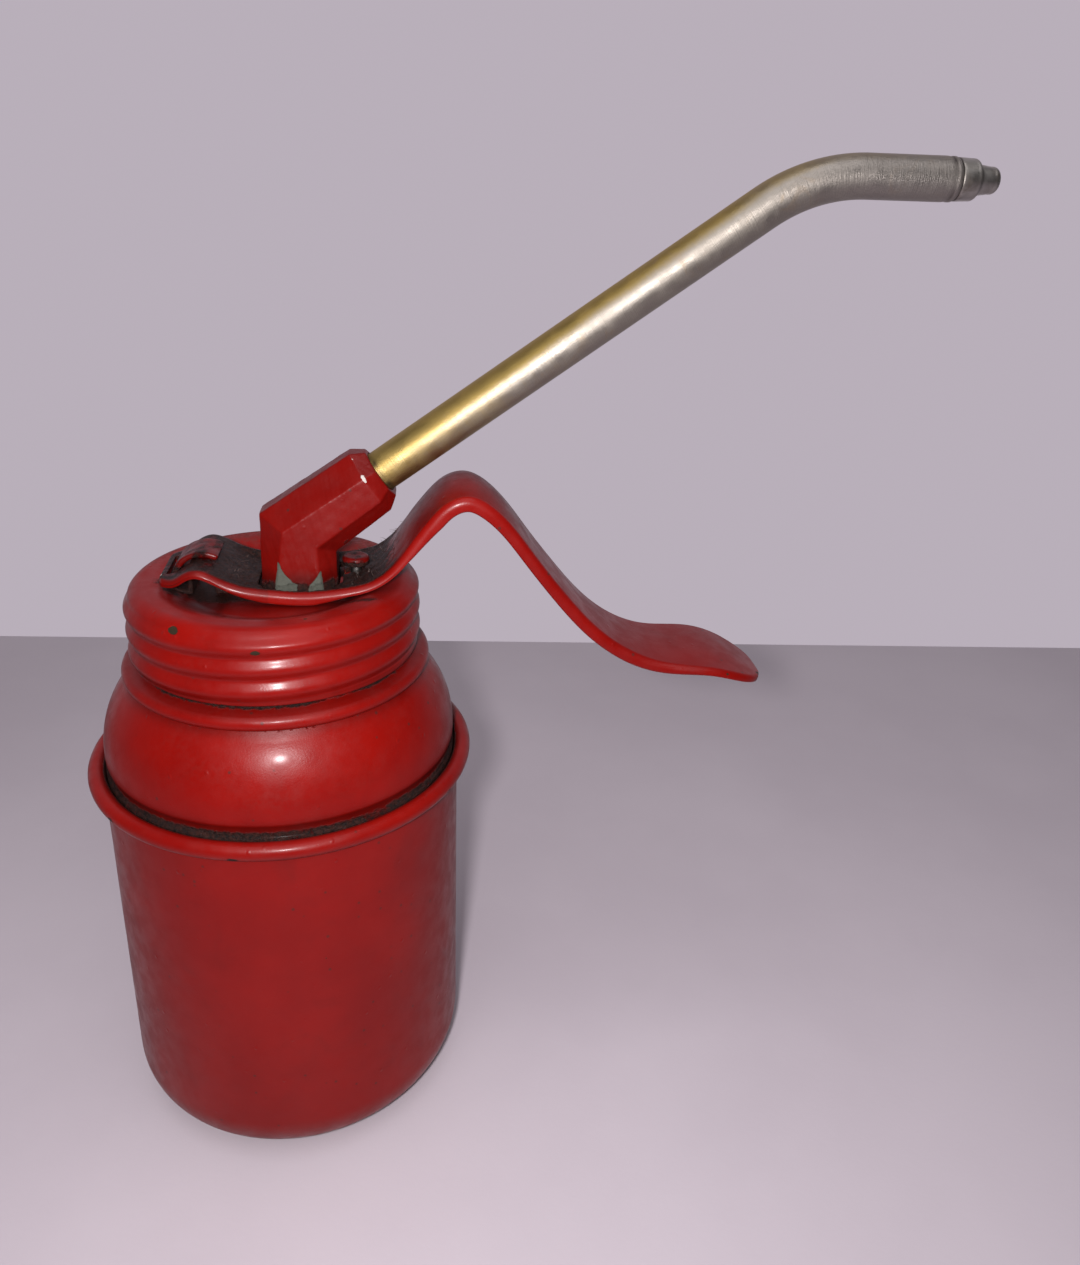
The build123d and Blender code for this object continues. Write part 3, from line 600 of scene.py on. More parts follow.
# grease and painted shade in the groove at the shoulder's foot, in the crease under the neck ring and in the
# gap under the cap's skirt
grime = fade(z, 79.9, 81.2) * (0.50 + 0.4 * patchy)
grime = np.maximum(grime, hill(z, 97.6, 0.4) * (0.16 + 0.26 * patchy))
grime = np.maximum(grime, grow(z, 100.7, 101.3) * (0.42 + 0.30 * patchy))
mark(shoulder, grime=grime)
mark(shoulder, chip=grow(z, 102, 103) * (0.28 + 0.24 * waves(p, 3, 22)))
# oil soaked into the paint, and painted shade, in the same groove, crease and gap
stain = 0.8 * fade(z, 80.4, 83.5) + 0.5 * grow(z, 99.5, 101)
mark(shoulder, stain=stain + 0.35 * hill(z, 97.4, 0.9))
mark(shoulder, dust=0.12 * patchy)
dress(shoulder, red_enamel)
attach(shoulder, "can")
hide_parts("shoulder")

# ---- screw cap
cap_r = 26.9
cap_bottom = 101.7
crown_z = 116.0
floor_z = 113.4
land_r = 22.4               # the flat top ends here, and falls to the sunken floor
dish_r = 14.6               # the floor is level inside this
corner = 2.8
corner_x = cap_r - corner
corner_z = crown_z - corner

cap_outer = [(cap_r - 0.25, cap_bottom)]
cap_outer += line((cap_r, cap_bottom + 0.25), (cap_r, corner_z), 84)
cap_outer += arc((corner_x, corner_z), corner, 0, 90, 26)
cap_outer += line((corner_x - 0.3, crown_z), (land_r, crown_z), 6)
for i in range(25):
    share = i / 24
    cap_outer.append((land_r + (dish_r - land_r) * share, crown_z - (crown_z - floor_z) * grow(share, 0, 1)))
cap_outer += line((dish_r - 0.4, floor_z), (0.0, floor_z), 30) + [(0.0, floor_z)]
cap_outer = np.array(cap_outer)
cap_inner = left_of(cap_outer, sheet)[::-1].copy()
cap_inner[:, 0] = np.clip(cap_inner[:, 0], 0, None)
cap_profile = np.vstack([cap_outer, cap_inner])
step = np.gradient(cap_outer, axis=0)
step /= np.linalg.norm(step, axis=1)[:, None]
away_outer = np.stack([step[:, 1], -step[:, 0]], 1)
away_profile = np.vstack([away_outer, away_outer[::-1]])


def threaded_cap(r, z, t):
    """The thread stands out of the skirt square to it, and dies away in the corner and the rim."""
    p = ring_points(r, z, t)
    strength = grow(z, cap_bottom - 0.2, cap_bottom + 1.6) * fade(z, 113.2, 115.2)
    strength = strength * (r > 24)
    out = (thread(z, t) - 0.10) * 0.80 * strength
    dents = np.clip(waves(p, 15, 31), 0, 2) ** 2 * 0.07 * grow(z, 114, 116) * (r > 18)
    r = r + away_profile[None, :, 0] * out
    z = z + away_profile[None, :, 1] * out - dents
    return r, z


cap = revolve("cap_shell", cap_profile, 384, threaded_cap, angle=40)


def cutter(name, outline, low, high):
    """Prism used only to cut, from a plan outline."""
    count = len(outline)
    points = [(x, y, low) for x, y in outline] + [(x, y, high) for x, y in outline]
    faces = [tuple(range(count))[::-1], tuple(range(count, 2 * count))]
    faces += [(i, (i + 1) % count, count + (i + 1) % count, count + i) for i in range(count)]
    return make_object(name, points, faces)


def cut(obj, *tools):
    for tool in tools:
        modifier = obj.modifiers.new("cut", "BOOLEAN")
        modifier.operation = "DIFFERENCE"
        modifier.solver = "EXACT"
        modifier.object = tool
    apply_modifiers(obj)
    for tool in tools:
        bpy.data.objects.remove(tool)
    smooth_mesh(obj, 40)


def circle(x, y, radius, count=48):
    turns = [2 * pi * i / count for i in range(count)]
    return [(x + radius * cos(a), y + radius * sin(a)) for a in turns]


column_x = 5.2
column_half = 7.1
column_chamfer = 2.8
plunger_x = 15.5
stem_hole_r = 4.85
pump_hole_r = 2.5
cut(cap, cutter("stem_hole", circle(column_x, 0, stem_hole_r), floor_z - 1.4, floor_z + 1.6),
    cutter("pump_hole", circle(plunger_x, 0, pump_hole_r), floor_z - 1.4, floor_z + 1.6))
p = places(cap)
x, y, z = p.T
radius = np.hypot(x, y)
patchy = patches(p, 5, 33)
top = grow(z, 113.0, 113.3)
# grease and painted shade on the sunken floor under the lever
under_lever = fade(np.abs(y), 6.0, 9.0 + 1.6 * patchy)
grime = top * under_lever * fade(radius, 19, 22.5) * (0.50 + 0.35 * patchy)
# a dark line of grease and painted shadow just outside the lever's near rail
smear_and_rail_shadow = hill(x, 16.5, 4.5) * hill(y, -13.6, 1.3)
grime = np.maximum(grime, 0.85 * smear_and_rail_shadow * (0.6 + 0.4 * patchy) * top)
# painted shade in the gap under the skirt's edge
grime = np.maximum(grime, grow(102.6 - z, 0, 1.0) * (0.20 + 0.30 * patchy))
# grease and painted shade under the lever's tail
grime = np.maximum(grime, 0.60 * hill(np.hypot(x + 21, y), 0, 5.0) * patchy * top)
mark(cap, grime=grime)
cap_chips = ((-15.0, -22.4, 114.6, 1.25), (-0.55, -27.4, 112.4, 0.9), (7.5, -21.7, 116, 0.35),
             (13.0, -23.5, 113.5, 0.4), (24, 10, 112, 0.7), (-26, 6, 108, 0.8), (5, 27, 110, 0.7))
mark(cap, chip=1.05 * spots(p, cap_chips, (1, 1, 1.6)))
near_lever = np.hypot(np.clip(np.abs(x - 3) - 14, 0, 99) / 7, np.clip(np.abs(y) - 8, 0, 99) / 8)
# darker soaked red near and under the lever, at the back and at the skirt's edge: oil and painted shade
mark(cap, stain=top * (1.05 - near_lever) + 0.25 * top * (x < -8) + 0.35 * (z < 102.8))
mark(cap, dust=top * grow(y, 2, 14) * grow(radius, 17, 22) * 0.9 + 0.10 * patchy)
dress(cap, red_enamel)
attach(cap, "cap")
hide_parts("cap")

# ---- thumb lever
pivot_x = -12.5
pivot_z = 116.0
lever_sheet = 1.2
full_rail = 2.35
low_rail = 1.37
arch_x = 30.0               # the edges turn up before it and down after it
lever_side = [
    (-20.0, 117.9), (-17.3, 118.2), (-15.2, 119.6), (pivot_x, pivot_z + 4.5), (-9.8, 119.6),
    (-6.5, 117.9), (0.0, 116.5), (6.0, 116.0), (13.0, 116.5), (18.6, 117.7), (22.4, 120.2),
    (26.3, 124.9), (29.8, 129.4), (33.0, 132.4), (36.8, 133.4), (40.6, 131.7), (48.7, 122.7),
    (55.7, 113.6), (62.7, 106.1), (69.0, 101.8), (75.4, 99.5), (85.7, 98.3), (92.0, 96.4), (98.2, 93.6),
]
lever_plan = [
    (-20.0, 7.0), (-16.5, 9.6), (-8.0, 10.8), (16.0, 10.8), (25.0, 10.0), (35.0, 9.5),
    (52.0, 9.2), (64.0, 9.2), (76.0, 10.3), (86.0, 11.2), (93.0, 9.8), (97.0, 6.0), (98.2, 0.0),
]


def smooth_curve(points, count):
    """Points spread along a natural cubic curve through the given ones."""
    q = np.array(points, float)
    n = len(q)
    u = np.concatenate([[0], np.cumsum(np.linalg.norm(np.diff(q, axis=0), axis=1))])
    h = np.diff(u)
    system = np.eye(n)
    right = np.zeros_like(q)
    for i in range(1, n - 1):
        system[i, i - 1:i + 2] = (h[i - 1], 2 * (h[i - 1] + h[i]), h[i])
        right[i] = 6 * ((q[i + 1] - q[i]) / h[i] - (q[i] - q[i - 1]) / h[i - 1])
    bend = np.linalg.solve(system, right)
    s = np.linspace(0, u[-1], count)
    k = np.clip(np.searchsorted(u, s, side="right") - 1, 0, n - 2)
    a, b = (u[k + 1] - s)[:, None], (s - u[k])[:, None]
    hk = h[k][:, None]
    return (bend[k] * a ** 3 + bend[k + 1] * b ** 3) / (6 * hk) \
        + (q[k] / hk - bend[k] * hk / 6) * a + (q[k + 1] / hk - bend[k + 1] * hk / 6) * b


top_line = smooth_curve(lever_side, 2400)
plan_line = smooth_curve(lever_plan, 3000)


def half_width(x):
    return np.interp(x, plan_line[:, 0], np.clip(plan_line[:, 1], 0, None))


def rail_depth(x):
    """How deep the lever's turned edge is, from the top of the strip down."""
    x = np.asarray(x, float)
    front = np.minimum(full_rail, lever_sheet + (x + 9.5) * 0.13)
    middle = np.clip(full_rail - (x - 8) * 0.14, low_rail, full_rail)
    back = np.minimum(2.4, low_rail + (x - 24) * 0.17)
    return np.where(x < -9.5, lever_sheet, np.where(x < 8, front, np.where(x < 24, middle, back)))


length_along = np.concatenate([[0], np.cumsum(np.linalg.norm(np.diff(top_line, axis=0), axis=1))])
stations = np.linspace(0, length_along[-1], 720)
# closer together at both rounded ends
stations = np.unique(np.concatenate([stations, np.linspace(0, 1.6, 16),
                                     length_along[-1] - np.linspace(0, 3.0, 40) ** 2 / 3.0]))
line_x = np.interp(stations, length_along, top_line[:, 0])
line_z = np.interp(stations, length_along, top_line[:, 1])
tangent = np.gradient(np.stack([line_x, line_z], 1), stations, axis=0)
tangent /= np.linalg.norm(tangent, axis=1)[:, None]


def lever_section(width, depth, channel, crown, hollow):
    """Half section of the strip as (across, down) pairs from the top middle to the bottom middle.
    channel is how far its top lies below the edges, crown how far it swells above them, and hollow
    how far its underside is drawn in."""
    edge = min(1.25, width * 0.5)
    under = min(0.5, width * 0.4, depth * 0.4)
    fillet = min(0.9, width * 0.2)
    inner = max(width - 2 * edge - fillet, width * 0.2)
    out = []
    for i in range(26):
        y = inner * i / 26
        out.append((y, channel - crown * (1 - (y / width) ** 2)))
    for i in range(10):
        share = i / 9
        y = inner + (width - edge - inner) * share
        out.append((y, channel * fade(share, 0, 1) - crown * (1 - (y / width) ** 2)))
    shed = crown * (1 - ((width - edge) / width) ** 2)
    out += [(width - edge + edge * sin(a), edge - (edge + shed) * cos(a))
            for a in np.linspace(0, pi / 2, 12)[1:]]
    out += [(width, edge + (depth - under - edge) * i / 3) for i in (1, 2)]
    out += [(width - under + under * cos(a), depth - under + under * sin(a))
            for a in np.linspace(0, pi / 2, 6)]
    lip = max(width - lever_sheet - 0.3, width * 0.3)
    roof = lip - 0.9 * width / 9
    out += [(lip, depth), (lip - 0.25 * width / 9, depth - hollow * 0.6), (roof, depth - hollow)]
    out += [(roof * (1 - i / 12), depth - hollow) for i in range(1, 13)]
    return out


rings = []
total = length_along[-1]
tail_round = 0.9
thumb_round = 1.2
for s, x, z, (tx, tz) in zip(stations, line_x, line_z, tangent):
    width = float(half_width(x))
    depth = float(rail_depth(x)) - 0.9 * float(grow(x, 68, 88))
    share = float(grow(x, -9.5, -6.0) * fade(x, arch_x - 10, arch_x - 2))
    channel = (max(0.0, depth - lever_sheet) + 0.12) * share
    crown = 1.6 * float(grow(x, 18, 27) * fade(x, 36, 52))
    crown += 0.5 * float(grow(x, 44, 56) * fade(x, 90, 98))
    turned_down = float(grow(x, arch_x + 1, arch_x + 4) * fade(x, 89, 92))
    hollow = (depth - lever_sheet) * turned_down
    # both ends are rounded off: the tail over tail_round, the thumb end over thumb_round
    ease = (1 - (1 - min(1.0, s / tail_round)) ** 2) ** 0.5
    width = (width - 1.6) + 1.6 * ease if s < tail_round else width
    right = lever_section(max(width, 0.02), depth, min(channel, depth - 0.8), crown, hollow)
    loop = right + [(-y, n) for y, n in right[-2:0:-1]]
    middle = depth * 0.5
    squeeze = 0.35 + 0.65 * ease
    if total - s < thumb_round:
        squeeze = min(squeeze, 0.45 + 0.55 * (1 - (1 - (total - s) / thumb_round) ** 2) ** 0.5)
    for y, n in loop:
        down = middle + (n - middle) * squeeze
        rings.append((x + tz * down, y, z - tx * down))
loop_count = len(loop)
faces = grid_faces(len(stations), loop_count, False, True)
faces += [tuple(range(loop_count))[::-1], tuple(range(len(rings) - loop_count, len(rings)))]
lever = make_object("thumb_lever", rings, faces, angle=50)
# the holes for the column, the bracket's hook and the plunger's rod
half_x, half_y, bevel = column_half + 0.8, column_half + 0.7, column_chamfer - 0.2
hole_x = column_x + 0.1
column_outline = [(hole_x + a, b) for a, b in (
    (-half_x, -half_y + bevel), (-half_x + bevel, -half_y), (half_x - bevel, -half_y),
    (half_x, -half_y + bevel), (half_x, half_y - bevel), (half_x - bevel, half_y),
    (-half_x + bevel, half_y), (-half_x, half_y - bevel))]
slot_x, slot_half_x, slot_half_y = pivot_x - 4.2, 2.2, 4.6
slot_outline = [(slot_x + a * slot_half_x, b * slot_half_y) for a, b in ((-1, -1), (1, -1), (1, 1), (-1, 1))]
keyhole = [(plunger_x + a, b) for a, b in ((-4.9, -1.6), (0.3, -1.6), (1.4, -1.1), (1.9, 0),
                                           (1.4, 1.1), (0.3, 1.6), (-4.9, 1.6))]
cut(lever, *[cutter(name, outline, 105, 125) for name, outline in (
    ("column_hole", column_outline), ("bracket_slot", slot_outline), ("keyhole", keyhole))])

p = places(lever)
n = normals(lever)
x, y, z = p.T
width = half_width(x)
inside = fade(np.abs(y), width - 1.5, width - 0.9)
near_rail = grow(np.abs(y), width - 1.3, width - 0.7)
upward = grow(n[:, 2], 0.25, 0.7)
underside = grow(-n[:, 2], 0.4, 0.8)
lumps = patches(p, 2.2, 41)
fine_lumps = patches(p, 0.9, 42)
trough = inside * upward * grow(x, -10.5, -8) * fade(x, 19, 27)
hump_dirt = inside * upward * fade(x, -10, -7) * (0.35 + 0.35 * lumps)
grime = trough * (0.62 + 0.34 * lumps) + hump_dirt + 0.12 * lumps * fade(x, 20, 34)
# the lever's underside is darkened as painted shade as well as grime
grime = np.maximum(grime, underside * (0.35 + 0.3 * lumps) * fade(x, 40, 60))
# the grease in the trough lies thick enough to lift the surface
pad = trough * (0.16 * lumps + 0.10 * fine_lumps) * (1 - 0.75 * grow(x, 28, 33))
p = p + n * pad[:, None]
move_points(lever, p)
x, y, z = p.T
mark(lever, grime=grime)
stain = upward * fade(x, 24, 36) * (1 - 0.75 * near_rail) + 0.30 * (x < 0)
# the darker soaked red on the arch's top is a stain and the spout's painted shadow
stain += 0.35 * inside * upward * grow(x, 26, 32) * fade(x, 40, 60)
mark(lever, stain=stain * (0.75 + 0.25 * lumps))
lever_chips = ((-20.0, -5.6, 117.6, 0.9), (97.0, -5.0, 94.3, 0.7), (94.8, -8.6, 95.4, 0.45),
               (62, -9.2, 106.3, 0.35), (88.5, -11.0, 97.3, 0.4))
mark(lever, chip=spots(p, lever_chips))
mark(lever, pale=spots(p, [(-20.1, -4.6, 117.7, 0.55)], (1, 0.8, 1.4)))
arch_dust = 0.22 * grow(x, 24, 34) * fade(x, 40, 52)
mark(lever, dust=arch_dust * inside * upward)
dress(lever, red_enamel)
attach(lever, "lever")
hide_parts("lever")

# Lint and grit stuck in the grease beside the column, as short bent fibres.
rng = random.Random(17)
points, faces = [], []


def fibre(x, y, z, lean, length, thick):
    """Short tapered strand that leans and curls."""
    base = len(points)
    curl = rng.uniform(-0.5, 0.5)
    direction = Vector((cos(lean) * 0.7, sin(lean) * 0.7, rng.uniform(0.35, 1.0))).normalized()
    place = Vector((x, y, z))
    for k in range(5):
        radius = thick * (1 - k / 5.5)
        for j in range(4):
            a = pi / 2 * j
            points.append(tuple(place + Vector((radius * cos(a), radius * sin(a), radius * 0.4 * sin(a)))))
        bend = Vector((curl * 0.5, rng.uniform(-0.25, 0.25), rng.uniform(-0.35, 0.1)))
        direction = (direction + bend).normalized()
        place = place + direction * length / 4
    for k in range(4):
        for j in range(4):
            a, b = base + 4 * k + j, base + 4 * k + (j + 1) % 4
            faces.append((a, b, b + 4, a + 4))
    faces.append((base + 3, base + 2, base + 1, base))
    faces.append((base + 16, base + 17, base + 18, base + 19))


for _ in range(420):
    x = rng.uniform(-8.5, 27.5)
    y = rng.uniform(-9.0, 9.0)
    if abs(x - hole_x) < half_x + 0.3 and abs(y) < half_y + 0.3:
        continue
    if abs(x - plunger_x) < 3.6 and abs(y) < 3.4:
        continue
    longer = 1.5 if y > 2 and x > 13 else 1
    z = float(np.interp(x, top_line[:, 0], top_line[:, 1])) - float(rail_depth(x)) + lever_sheet - 0.15
    fibre(x, y, z, rng.uniform(0, 2 * pi), rng.uniform(0.6, 1.5) * longer, rng.uniform(0.04, 0.09))
lint_strands = make_object("lever_lint", points, faces, angle=80)
dress(lint_strands, lint)
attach(lint_strands, "lever")

# ---- hinge bracket
bracket = copy_node("hinge_bracket", "hinge_hook")
soften(bracket, 0.32, 0.14, 6)
p = places(bracket)
swell = patches(p, 2.6, 51) * 0.12 * grow(p[:, 2], 117.5, 120)
move_points(bracket, p + normals(bracket) * swell[:, None])
p = places(bracket)
lumps = patches(p, 2.4, 52)
# grease and painted shade: heavy at the foot where it meets the cap, lighter all over
foot_grime = fade(p[:, 2], 117, 120.2) * 0.9 * (0.6 + 0.4 * lumps)
mark(bracket, grime=foot_grime + 0.20 + 0.32 * lumps, stain=0.55 + 0.4 * lumps)
dress(bracket, red_enamel)
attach(bracket, "cap")
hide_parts("hinge_bracket")

# ---- cast elbow
# A chamfered square column that turns, through one mitred ring, into an eight-sided barrel.
elbow_z = 125.2
slope = radians(35.2)
barrel_length = 19.0
socket_depth = 8.0
tube_r = 3.9
elbow_foot = 113.42         # just over the cap's floor
stem_top = 113.8            # the model's own stem is kept below this
wide, flat = column_half, column_half - column_chamfer
column_section = [(flat, wide), (wide, flat), (wide, -flat), (flat, -wide)]
barrel_section = [(2.1, 6.9), (6.9, 2.2), (6.9, -3.4), (3.4, -6.9)]
column_section += [(-y, v) for y, v in column_section[::-1]]
barrel_section += [(-y, v) for y, v in barrel_section[::-1]]


def on_spout(s, y, v):
    """Point s along the spout's slope from the elbow's centre, y across it and v square to it."""
    return (column_x + s * cos(slope) - v * sin(slope), y, elbow_z + s * sin(slope) + v * cos(slope))


def rod(name, start, end, radius, count=64):
    """Cylinder between two points in the spout's plane, used only to cut."""
    start, end = Vector(start), Vector(end)
    way = (end - start).normalized()
    across = Vector((-way.z, 0, way.x))
    points = []
    for centre in (start, end):
        for i in range(count):
            a = 2 * pi * i / count
            points.append(tuple(centre + across * radius * cos(a) + Vector((0, radius * sin(a), 0))))
    faces = [tuple(range(count)), tuple(range(count, 2 * count))]
    faces += [(i, (i + 1) % count, count + (i + 1) % count, count + i) for i in range(count)]
    return make_object(name, points, faces)


mitre = (1 - sin(slope)) / cos(slope)
rings = [(column_x - v, y, elbow_foot) for y, v in column_section]
for (cy, cv), (by, bv) in zip(column_section, barrel_section):
    y, v = cy * 0.15 + by * 0.85, cv * 0.15 + bv * 0.85
    rings.append((column_x - v, y, elbow_z + v * mitre))
rings += [on_spout(barrel_length - 2.4, y * 0.93, v * 0.93) for y, v in barrel_section]
rings += [on_spout(barrel_length, y * 0.70, v * 0.70) for y, v in barrel_section]
sides = len(column_section)
faces = grid_faces(4, sides, False, True) + [tuple(range(sides)), tuple(range(3 * sides, 4 * sides))]
elbow = make_object("cast_elbow", rings, faces)
stem_bore_r, slant_bore_r = 2.1, 1.9
socket_start = on_spout(barrel_length - socket_depth, 0, 0)
cut(elbow, rod("bore", (column_x, 0, 112), (column_x, 0, elbow_z + 1.5), stem_bore_r),
    rod("slant", on_spout(0, 0, 0), on_spout(barrel_length - 1, 0, 0), slant_bore_r),
    rod("socket", socket_start, on_spout(barrel_length + 2, 0, 0), tube_r + 0.02))
soften(elbow, 0.9, 0.17, 10)
stem = copy_node("elbow", "elbow_stem")
work = bmesh.new()
work.from_mesh(stem.data)
bmesh.ops.bisect_plane(work, geom=work.verts[:] + work.edges[:] + work.faces[:],
                       plane_co=(0, 0, stem_top * MM), plane_no=(0, 0, 1), clear_outer=True)
bmesh.ops.holes_fill(work, edges=[e for e in work.edges if e.is_boundary])
work.to_mesh(stem.data)
work.free()
with bpy.context.temp_override(active_object=elbow, object=elbow, selected_editable_objects=[elbow, stem]):
    bpy.ops.object.join()
smooth_mesh(elbow, 60)
p = places(elbow)
n = normals(elbow)
skin = (0.035 * waves(p, 3.2, 61) + 0.02 * waves(p, 1.2, 62)) * grow(p[:, 2], 113.6, 115)
p = p + n * (skin - 0.04)[:, None]
move_points(elbow, p)
x, y, z = p.T
along = (x - column_x) * cos(slope) + (z - elbow_z) * sin(slope)
upper = -(x - column_x) * sin(slope) + (z - elbow_z) * cos(slope)


def corner_chip(inwards, wide, tall):
    """Paint lost from a bottom corner of the column, in a curve that runs up its edge."""
    edge = (np.clip(inwards, 0, 9) / wide) ** 0.7 + (np.clip(z - 116.4, 0, 20) / tall) ** 0.7
    return grow(1.0 - edge, -0.16, 0.14)


front = grow(-y, 6.45, 6.8)
chip = front * np.maximum(corner_chip(x - 1.4, 3.6, 6.0) * (x > 0.9),
                          corner_chip(9.9 - x, 2.9, 4.9) * (x < 10.3))
chip = chip * (0.80 + 0.20 * waves(p, 1.5, 64))
hidden_chips = ((12.1, 5.0, 117.5, 1.6), (-1.9, 3.0, 120, 0.9), (8.0, 7.1, 121, 1.0))
mark(elbow, chip=np.maximum(chip, 0.9 * spots(p, hidden_chips)))
nose_nick = 0.7 * hill(along, 16.7, 0.45) * hill(upper, 2.0, 1.05) * grow(-y, 4.9, 5.6)
# pale patch on top of the nose: rubbed paint that also paints a highlight
rub_and_glint = 0.46 * hill(along, 16.6, 0.22) * grow(upper, 3.8, 5.2) * grow(-y, 0.2, 1.2)
mark(elbow, pale=np.maximum(nose_nick, rub_and_glint))
lumps = patches(p, 2.0, 63)
# grease and painted shade at the column's foot
grime = fade(z, 115.4, 118.0) * (0.55 + 0.45 * lumps)
grime += 0.65 * grow(along, 17.6, 18.8) * fade(np.hypot(y, upper), 3.9, 4.5)
# painted shade under the barrel, in the crook
crook_shade = hill(along, 6.0, 3.0) * grow(-upper, 4.5, 6.5) * grow(x, 10.5, 12.5)
mark(elbow, grime=grime + 0.5 * crook_shade * lumps)
# oil and painted shade at the column's foot, and painted shade on upward faces
mark(elbow, stain=0.75 * fade(z, 116.5, 120) + 0.35 * grow(n[:, 2], 0.5, 0.9))
mark(elbow, dust=0.10 * lumps)
dress(elbow, red_casting)
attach(elbow, "cap")
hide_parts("elbow")

# ---- spout
tube_wall = 0.7
spout_z = 190.1
bend_r = 32.0
tube_end = 123.4
start_along = barrel_length - socket_depth + 0.1
rise = spout_z - elbow_z
bend_x = column_x + rise / sin(slope) * cos(slope)     # where the two straight lines would meet
tangent_length = bend_r * np.tan(slope / 2)
path = []
first = Vector((column_x + start_along * cos(slope), elbow_z + start_along * sin(slope)))
last_straight = Vector((bend_x - tangent_length * cos(slope), spout_z - tangent_length * sin(slope)))
for i in range(120):
    path.append((*first.lerp(last_straight, i / 120), slope))
level_x = bend_x + tangent_length
for i in range(48):
    a = slope * (1 - i / 48)
    path.append((level_x - bend_r * sin(a), spout_z - bend_r + bend_r * cos(a), a))
for i in range(41):
    path.append((level_x + (tube_end - level_x) * i / 40, spout_z, 0))
path = np.array(path)       # x, height and slope of the tube's centre line
reach = np.concatenate([[0], np.cumsum(np.hypot(np.diff(path[:, 0]), np.diff(path[:, 1])))])
full = reach[-1]
around = 112


def tube_ring(index, radius):
    """One ring of the tube, square to its centre line."""
    x, z, a = path[index]
    t = np.linspace(0, 2 * pi, around, endpoint=False)
    up = radius * np.cos(t)
    return np.stack([x - up * sin(a), radius * np.sin(t), z + up * cos(a)], 1)


rows = []
for i in range(len(path)):
    crimp = 0.10 * hill(full - reach[i], 1.3, 0.35)
    rounding = 0.22 * grow(reach[i], full - 0.5, full)
    rows.append(tube_ring(i, tube_r - crimp - rounding))
for i in range(len(path) - 1, -1, -1):
    rows.append(tube_ring(i, tube_r - tube_wall))
tube = make_object("spout_pipe", np.vstack(rows), grid_faces(len(rows), around, True, True), angle=45)
p = places(tube)
nearest = np.zeros(len(p))      # distance along the centre line
offset = np.zeros(len(p))       # height over it, square to it
for low in range(0, len(p), 4000):
    q = p[low:low + 4000]
    k = np.hypot(q[:, None, 0] - path[None, :, 0], q[:, None, 2] - path[None, :, 1]).argmin(1)
    dx, dz, lean = q[:, 0] - path[k, 0], q[:, 2] - path[k, 1], path[k, 2]
    nearest[low:low + 4000] = reach[k] + dx * np.cos(lean) + dz * np.sin(lean)
    offset[low:low + 4000] = dz * np.cos(lean) - dx * np.sin(lean)
mark(tube, reach=nearest / full)
mark(tube, upper=0.5 + 0.5 * np.clip(offset / tube_r, -1, 1))
mark(tube, round=0.5 + np.arctan2(p[:, 1], offset) / (2 * pi))
grime = 0.9 * hill(full - nearest, 1.3, 0.28) * (0.5 + 0.4 * waves(p, 3, 71))
grime = np.maximum(grime, 0.7 * fade(nearest, 8.1, 9.3) * patches(p, 1.5, 72))
mark(tube, grime=grime)
dress(tube, tube_metal)
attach(tube, "cap")
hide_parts("spout_tube")

# Turned nozzle with a bead-edged collar and a slim rounded tip, along the level end.
spigot_r = tube_r - tube_wall - 0.02
bore_r = 0.9
spigot_end = tube_end - 5.0
nozzle_profile = [(spigot_end, bore_r), (spigot_end, spigot_r - 0.3), (spigot_end + 0.3, spigot_r)]
nozzle_profile += line((spigot_end + 0.8, spigot_r), (123.45, spigot_r), 6)
nozzle_profile += [(123.46, 3.35), (123.5, 3.55), (123.62, 3.68), (123.8, 3.72)]
nozzle_profile += line((124.1, 3.72), (126.5, 3.62), 8)
nozzle_profile += three_point((126.5, 3.62), (127.15, 3.42), (127.4, 2.85), 8)
nozzle_profile += [(127.6, 2.70)] + line((127.9, 2.66), (130.2, 2.34), 10)
nozzle_profile += three_point((130.2, 2.34), (131.15, 2.12), (131.58, 1.35), 8)
nozzle_profile += [(131.6, 1.15), (131.45, 0.95)] + line((131.2, bore_r), (spigot_end, bore_r), 12)
segments = 96
turns = np.linspace(0, 2 * pi, segments, endpoint=False)
points = [(x, r * sin(t), spout_z + r * cos(t)) for t in turns for x, r in nozzle_profile]
nozzle = make_object("turned_nozzle", points, grid_faces(segments, len(nozzle_profile), True, True), angle=35)
p = places(nozzle)
grime = 0.9 * hill(p[:, 0], 123.45, 0.25) + 0.6 * hill(p[:, 0], 127.4, 0.3)
in_bore = np.hypot(p[:, 1], p[:, 2] - spout_z) < 1.2
grime = np.maximum(grime, 0.9 * in_bore) + 0.15 * waves(p, 2, 74)
mark(nozzle, grime=grime)
dress(nozzle, nozzle_metal)
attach(nozzle, "cap")
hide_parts("spout_nozzle")

# ---- plunger button
button_z = 117.8
button_profile = [(1.12, button_z), (2.35, button_z), (2.55, button_z + 0.12)]
button_profile += line((2.6, button_z + 0.35), (2.6, button_z + 1.0), 4)
button_profile += arc((1.85, button_z + 0.95), 0.75, 0, 80, 8)
button_profile += three_point((1.7, button_z + 1.68), (0.9, button_z + 1.62), (0.0, button_z + 1.6), 8)
button_profile += [(0.0, button_z + 1.12), (1.12, button_z + 1.12)]
button = revolve("red_button", button_profile, 72, None, (plunger_x, 0), 40)
p = places(button)
lumps = patches(p, 1.6, 81)
# grease and painted shade at the foot where it meets the lever
foot_grime = fade(p[:, 2], button_z + 0.2, button_z + 1.2) * 0.8
mark(button, grime=foot_grime + 0.15 + 0.40 * lumps, stain=0.45 + 0.4 * lumps)
dress(button, red_enamel)
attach(button, "plunger")
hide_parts("plunger_button")

